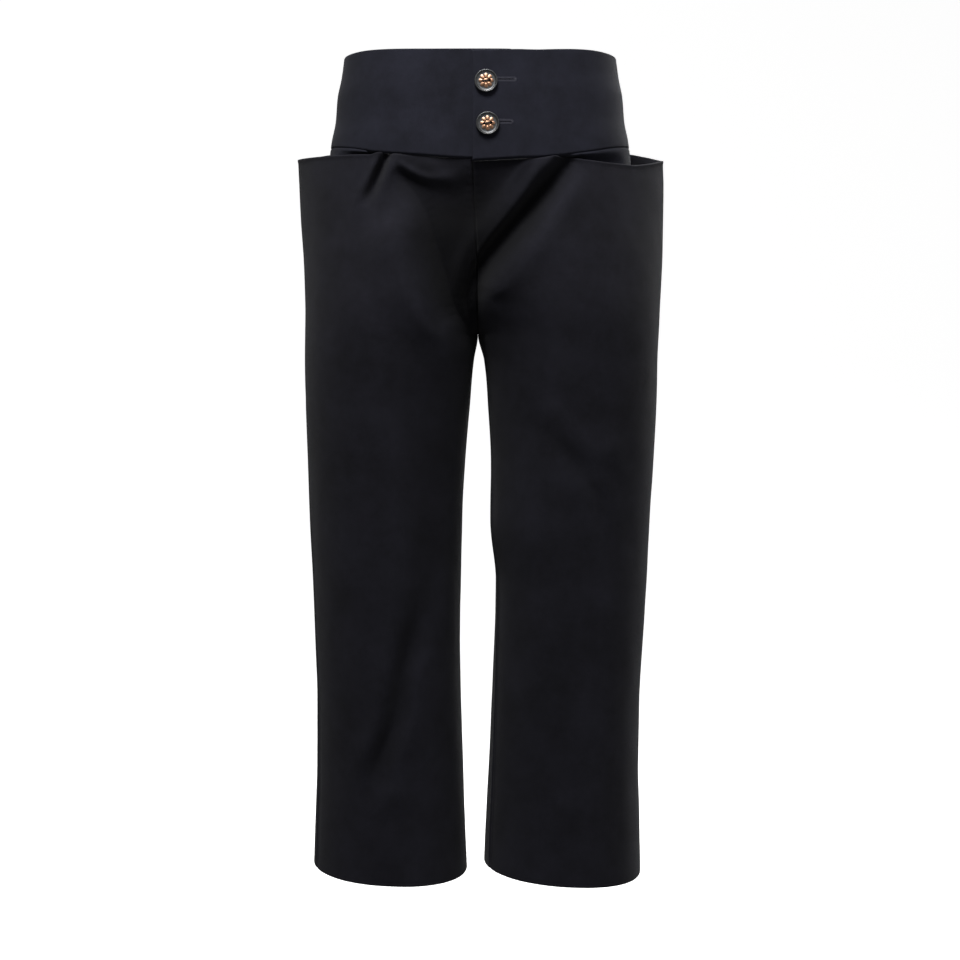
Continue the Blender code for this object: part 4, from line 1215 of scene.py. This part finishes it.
def buttonhole_path(node):
    """The middle line of a buttonhole's stitches: x and z round its slit, and the way of each stitch."""
    x, z = BUTTONS[node]
    first = x + BUTTONHOLE_START
    last = BUTTONHOLE_ENDS[node]
    middle = z + BUTTONHOLE_RAISE
    straight = last - first
    turn = math.pi * BUTTONHOLE_HALF
    found = []
    for run in np.arange(0.0, 2 * straight + 2 * turn, BUTTONHOLE_POINT_STEP):
        if run < straight:
            x, angle = first + run, math.pi / 2
        elif run < straight + turn:
            x, angle = last, math.pi / 2 - (run - straight) / BUTTONHOLE_HALF
        elif run < 2 * straight + turn:
            x, angle = last - (run - straight - turn), -math.pi / 2
        else:
            x, angle = first, -math.pi / 2 - (run - 2 * straight - turn) / BUTTONHOLE_HALF
        way = (math.cos(angle), math.sin(angle))
        found.append((x + BUTTONHOLE_HALF * way[0], middle + BUTTONHOLE_HALF * way[1], way))
    return found


def stitch_tree(material):
    """Geometry Nodes that lay short threads side by side along a path, each across it."""
    tree = bpy.data.node_groups.new("Buttonhole stitches", "GeometryNodeTree")
    faces = tree.interface
    faces.new_socket("Geometry", in_out="OUTPUT", socket_type="NodeSocketGeometry")
    faces.new_socket("Geometry", in_out="INPUT", socket_type="NodeSocketGeometry")
    for name in ("Stitch spacing", "Stitch length", "Thread radius"):
        faces.new_socket(name, in_out="INPUT", socket_type="NodeSocketFloat")
    faces.new_socket("Seed", in_out="INPUT", socket_type="NodeSocketInt")
    vector = {"data_type": "FLOAT_VECTOR"}
    given = add_node(tree, "NodeGroupInput")
    path = add_node(tree, "GeometryNodeMeshToCurve", Mesh=(given, "Geometry"))
    spread = add_node(
        tree, "GeometryNodeResampleCurve", {"mode": "LENGTH"},
        Curve=(path, "Curve"), Length=(given, "Stitch spacing"),
    )
    thread = add_node(
        tree, "GeometryNodeMeshCylinder",
        Vertices=7, Radius=(given, "Thread radius"), Depth=(given, "Stitch length"),
    )
    across = add_node(tree, "GeometryNodeInputNamedAttribute", vector, Name="across")
    along_z = {"axis": "Z"}
    turned = add_node(tree, "FunctionNodeAlignRotationToVector", along_z, Vector=(across, "Attribute"))
    uneven = add_node(
        tree, "FunctionNodeRandomValue", vector, Min=STITCH_LEAST, Max=STITCH_MOST, Seed=(given, "Seed"),
    )
    placed = add_node(
        tree, "GeometryNodeInstanceOnPoints", Points=(spread, "Curve"), Instance=(thread, "Mesh"),
        Rotation=(turned, "Rotation"), Scale=(uneven, "Value"),
    )
    real = add_node(tree, "GeometryNodeRealizeInstances", Geometry=(placed, "Instances"))
    finish = add_node(tree, "GeometryNodeSetMaterial", Geometry=(real, "Geometry"), Material=material)
    add_node(tree, "NodeGroupOutput", Geometry=(finish, "Geometry"))
    return tree


def buttonhole_piece(node, tree):
    """The stitches round one buttonhole."""
    name = node.replace("button", "buttonhole") + "_stitches"
    path = buttonhole_path(node)
    points = [(x * MM, (band_face_y(x, z) - STITCH_LIFT) * MM, z * MM) for x, z, way in path]
    mesh = bpy.data.meshes.new(name)
    mesh.from_pydata(points, [(i, (i + 1) % len(points)) for i in range(len(points))], [])
    across = mesh.attributes.new("across", "FLOAT_VECTOR", "POINT")
    for spot, (x, z, way) in zip(across.data, path):
        spot.vector = (way[0], 0.0, way[1])
    piece = link_piece(name, mesh)
    stitches = piece.modifiers.new("Stitches", "NODES")
    stitches.node_group = tree
    values = {
        "Stitch spacing": STITCH_SPACING * MM, "Stitch length": STITCH_LENGTH * MM,
        "Thread radius": STITCH_THREAD * MM, "Seed": STITCH_SEED,
    }
    for socket in tree.interface.items_tree:
        if socket.item_type == "SOCKET" and socket.name in values:
            stitches[socket.identifier] = values[socket.name]
    apply_modifiers(piece)
    piece.data.shade_smooth()
    piece.data.set_sharp_from_angle(angle=math.radians(SHARP_STITCH))
    return piece


def new_material(name, **inputs):
    """A material with some of its shader's inputs set: the material, its tree and its shader."""
    material = bpy.data.materials.new(name)
    material.use_nodes = True
    shader = material.node_tree.nodes["Principled BSDF"]
    for title, value in inputs.items():
        shader.inputs[title.replace("_", " ")].default_value = value
    return material, material.node_tree, shader


def object_noise(tree, **inputs):
    """Noise on the object's own coordinates."""
    where = add_node(tree, "ShaderNodeTexCoord")
    return add_node(tree, "ShaderNodeTexNoise", Vector=(where, "Object"), **inputs), "Fac"


def rescaled(tree, source, low, high):
    return add_node(tree, "ShaderNodeMapRange", Value=source, To_Min=low, To_Max=high), "Result"


def multiplied(tree, first, second):
    settings = {"data_type": "RGBA", "blend_type": "MULTIPLY"}
    return add_node(tree, "ShaderNodeMix", settings, Factor=1.0, A=first, B=second), "Result"


def two_tones(tree, source, colour, darker, lighter, ends=(0.0, 1.0)):
    """A colour that varies with the source, from a darker to a lighter tone of it."""
    tones = add_node(tree, "ShaderNodeValToRGB", Fac=source)
    for element, position, tone in zip(tones.color_ramp.elements, ends, (darker, lighter)):
        element.position = position
        element.color = (*(c * tone for c in colour), 1.0)
    return tones, "Color"


def raise_surface(tree, shader, height, strength, distance):
    raised = add_node(tree, "ShaderNodeBump", Strength=strength, Distance=distance, Height=height)
    tree.links.new(raised.outputs["Normal"], shader.inputs["Normal"])


def colour_surface(tree, shader, colour):
    tree.links.new(colour[0].outputs[colour[1]], shader.inputs["Base Color"])


def cloth_material(name, colour):
    """Matte navy twill: fine slanting lines on the cloth's own map, uneven dye, and painted shade in
    hollows.
    """
    material, tree, shader = new_material(
        name, Roughness=0.9, Specular_IOR_Level=0.12, Sheen_Weight=0.04, Sheen_Roughness=0.5,
    )
    uv = add_node(tree, "ShaderNodeUVMap", {"uv_map": "Cloth"})
    slant = (0.0, 0.0, math.radians(TWILL_SLANT))
    turned = add_node(tree, "ShaderNodeMapping", Vector=(uv, "UV"), Rotation=slant)
    lines = add_node(
        tree, "ShaderNodeTexWave",
        Vector=(turned, "Vector"), Scale=560.0, Distortion=1.2, Detail=2.0, Detail_Scale=1.5,
    )
    fuzz = add_node(tree, "ShaderNodeTexNoise", Vector=(uv, "UV"), Scale=900.0, Detail=3.0)
    together = add_node(tree, "ShaderNodeMath", {"operation": "MULTIPLY_ADD"}, Value=(fuzz, "Fac"))
    together.inputs[1].default_value = 0.6
    tree.links.new(lines.outputs["Fac"], together.inputs[2])
    raise_surface(tree, shader, (together, "Value"), TWILL_BUMP, 0.0004)
    dye = object_noise(tree, Scale=22.0, Detail=9.0, Roughness=0.72)
    tones = two_tones(tree, dye, colour, 0.62, 1.38, (0.3, 0.7))
    thread = multiplied(tree, tones, rescaled(tree, (lines, "Fac"), 0.92, 1.07))
    # Painted shade: the colour darkens where the folds press in and along the centre seam
    hollow = add_node(tree, "ShaderNodeAttribute", {"attribute_name": "hollow"})
    dark = rescaled(tree, (hollow, "Fac"), 1.0, 1.0 - HOLLOW_SHADE)
    colour_surface(tree, shader, multiplied(tree, thread, dark))
    return material


def metal_material(name):
    """Darkened pewter. The raised rosette of each button is rubbed copper."""
    material, tree, shader = new_material(name, Metallic=1.0)
    relief = add_node(tree, "ShaderNodeAttribute", {"attribute_name": "rosette"})
    colours = {"data_type": "RGBA"}
    copper = add_node(tree, "ShaderNodeMix", colours, Factor=(relief, "Fac"), A=PEWTER, B=COPPER)
    worn = object_noise(tree, Scale=420.0, Detail=5.0)
    colour_surface(tree, shader, multiplied(tree, (copper, "Result"), rescaled(tree, worn, 0.7, 1.2)))
    gloss = rescaled(tree, worn, 0.32, 0.5)
    tree.links.new(gloss[0].outputs["Result"], shader.inputs["Roughness"])
    raise_surface(tree, shader, worn, 0.15, 0.0002)
    return material


def thread_material(name, colour):
    """Twisted sewing thread with a slight sheen."""
    material, tree, shader = new_material(name, Roughness=0.6, Specular_IOR_Level=0.3)
    twist = object_noise(tree, Scale=2500.0, Detail=2.0)
    colour_surface(tree, shader, two_tones(tree, twist, colour, 0.6, 1.4))
    raise_surface(tree, shader, twist, 0.4, 0.0001)
    return material


def add_camera():
    data = bpy.data.cameras.new("Camera")
    data.lens = CAMERA_LENS
    data.sensor_width = CAMERA_SENSOR
    data.clip_end = CAMERA_REACH
    camera = bpy.data.objects.new("Camera", data)
    camera.location = (0.0, -CAMERA_DISTANCE * MM, CAMERA_HEIGHT * MM)
    camera.rotation_euler = (math.radians(90.0 - CAMERA_TILT), 0.0, 0.0)
    bpy.context.scene.collection.objects.link(camera)
    bpy.context.scene.camera = camera


def add_lamp(name, kind, place, aim, **settings):
    """A lamp at a place, aimed at a point."""
    data = bpy.data.lights.new(name, kind)
    for setting, value in settings.items():
        setattr(data, setting, value)
    lamp = bpy.data.objects.new(name, data)
    lamp.location = place
    lamp.rotation_euler = (Vector(aim) - Vector(place)).to_track_quat("-Z", "Y").to_euler()
    bpy.context.scene.collection.objects.link(lamp)
    return lamp


def add_floor():
    """A pale floor that curves up into a pale wall all round."""
    work = bmesh.new()
    profile = []
    for step in range(FLOOR_CURVE_STEPS + 1):
        angle = math.pi / 2 * step / FLOOR_CURVE_STEPS
        across = FLOOR_RADIUS - FLOOR_CURVE + FLOOR_CURVE * math.sin(angle)
        profile.append((across, FLOOR_LEVEL + FLOOR_CURVE - FLOOR_CURVE * math.cos(angle)))
    profile.append((FLOOR_RADIUS, WALL_TOP))
    rings = []
    for radius, height in profile:
        angles = [2 * math.pi * spoke / FLOOR_SPOKES for spoke in range(FLOOR_SPOKES)]
        rings.append([work.verts.new((radius * math.cos(a), radius * math.sin(a), height)) for a in angles])
    work.faces.new(rings[0])
    bridge_rings(work, rings)
    mesh = finished_mesh("floor", work, outward=False)
    for face in mesh.polygons:
        face.use_smooth = len(face.vertices) == 4
    pale, tree, shader = new_material(
        "pale_floor", Base_Color=(FLOOR_TONE, FLOOR_TONE, FLOOR_TONE, 1.0), Roughness=1.0,
        Specular_IOR_Level=0.0, Emission_Color=WHITE, Emission_Strength=FLOOR_GLOW,
    )
    floor = link_piece("floor", mesh, pale)
    floor.visible_shadow = False
    floor.visible_diffuse = False
    floor.visible_glossy = False


def add_studio():
    """A pale room with soft light from above, in front and behind, and a lamp into the left pocket."""
    world = bpy.data.worlds.new("Studio")
    world.use_nodes = True
    background = world.node_tree.nodes["Background"]
    background.inputs["Color"].default_value = WHITE
    background.inputs["Strength"].default_value = WORLD_STRENGTH
    bpy.context.scene.world = world
    bpy.context.scene.view_settings.view_transform = "Standard"
    add_floor()
    key = add_lamp("key", "AREA", KEY_PLACE, KEY_AIM, energy=50.0, size=0.7)
    key.visible_camera = False
    add_lamp(
        "pocket", "SPOT", POCKET_LAMP_PLACE, POCKET_LAMP_AIM,
        energy=55.0, spot_size=math.radians(POCKET_LAMP_CONE), spot_blend=1.0, shadow_soft_size=0.05,
    )
    for name, (direction, strength) in SUNS.items():
        add_lamp(name, "SUN", (0.0, 0.0, 0.0), direction, energy=strength, angle=math.radians(SUN_SOFTNESS))


def add_piece(piece, node):
    """Attaches a finished piece to the root body and hides the CAD node that it stands for."""
    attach(piece, "root")
    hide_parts(node)


def main():
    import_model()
    add_camera()
    add_studio()
    leg = cloth_material("navy_twill", NAVY)
    # The waistband's and pocket walls' cloth, painted lighter for the light from above
    band = cloth_material("navy_twill_waist", NAVY_WAIST_PAINTED_LIGHTER)
    metal = metal_material("pewter_and_copper")
    thread = thread_material("navy_thread", NAVY_THREAD)
    sewing = thread_material("dark_thread", BUTTON_THREAD)
    made = {}
    for side in (LEFT, RIGHT):
        made.update(panel_pair(side, leg))
        made["hip_yoke_" + NAMES[side]] = yoke_piece(side, band)
    made["fly_underlap"] = fly_piece(leg)
    bands = (
        ("waistband_front_left", "left", "front", OVERLAP_EDGE, 1, LEFT),
        ("waistband_front_right", "right", "front", -1, UNDERLAP_END, RIGHT),
        ("waistband_back", "back", "back", -1, 1, 0),
    )
    for node, *stretch in bands:
        made[node] = band_piece(node + "_cloth", *stretch, band)
    cut_slits(made["waistband_front_left"])
    for node, piece in made.items():
        add_piece(piece, node)
    tree = stitch_tree(thread)
    for node in BUTTONS:
        add_piece(button_piece(node, metal), node)
        for piece in (button_thread(node, sewing), buttonhole_piece(node, tree)):
            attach(piece, "root")


main()
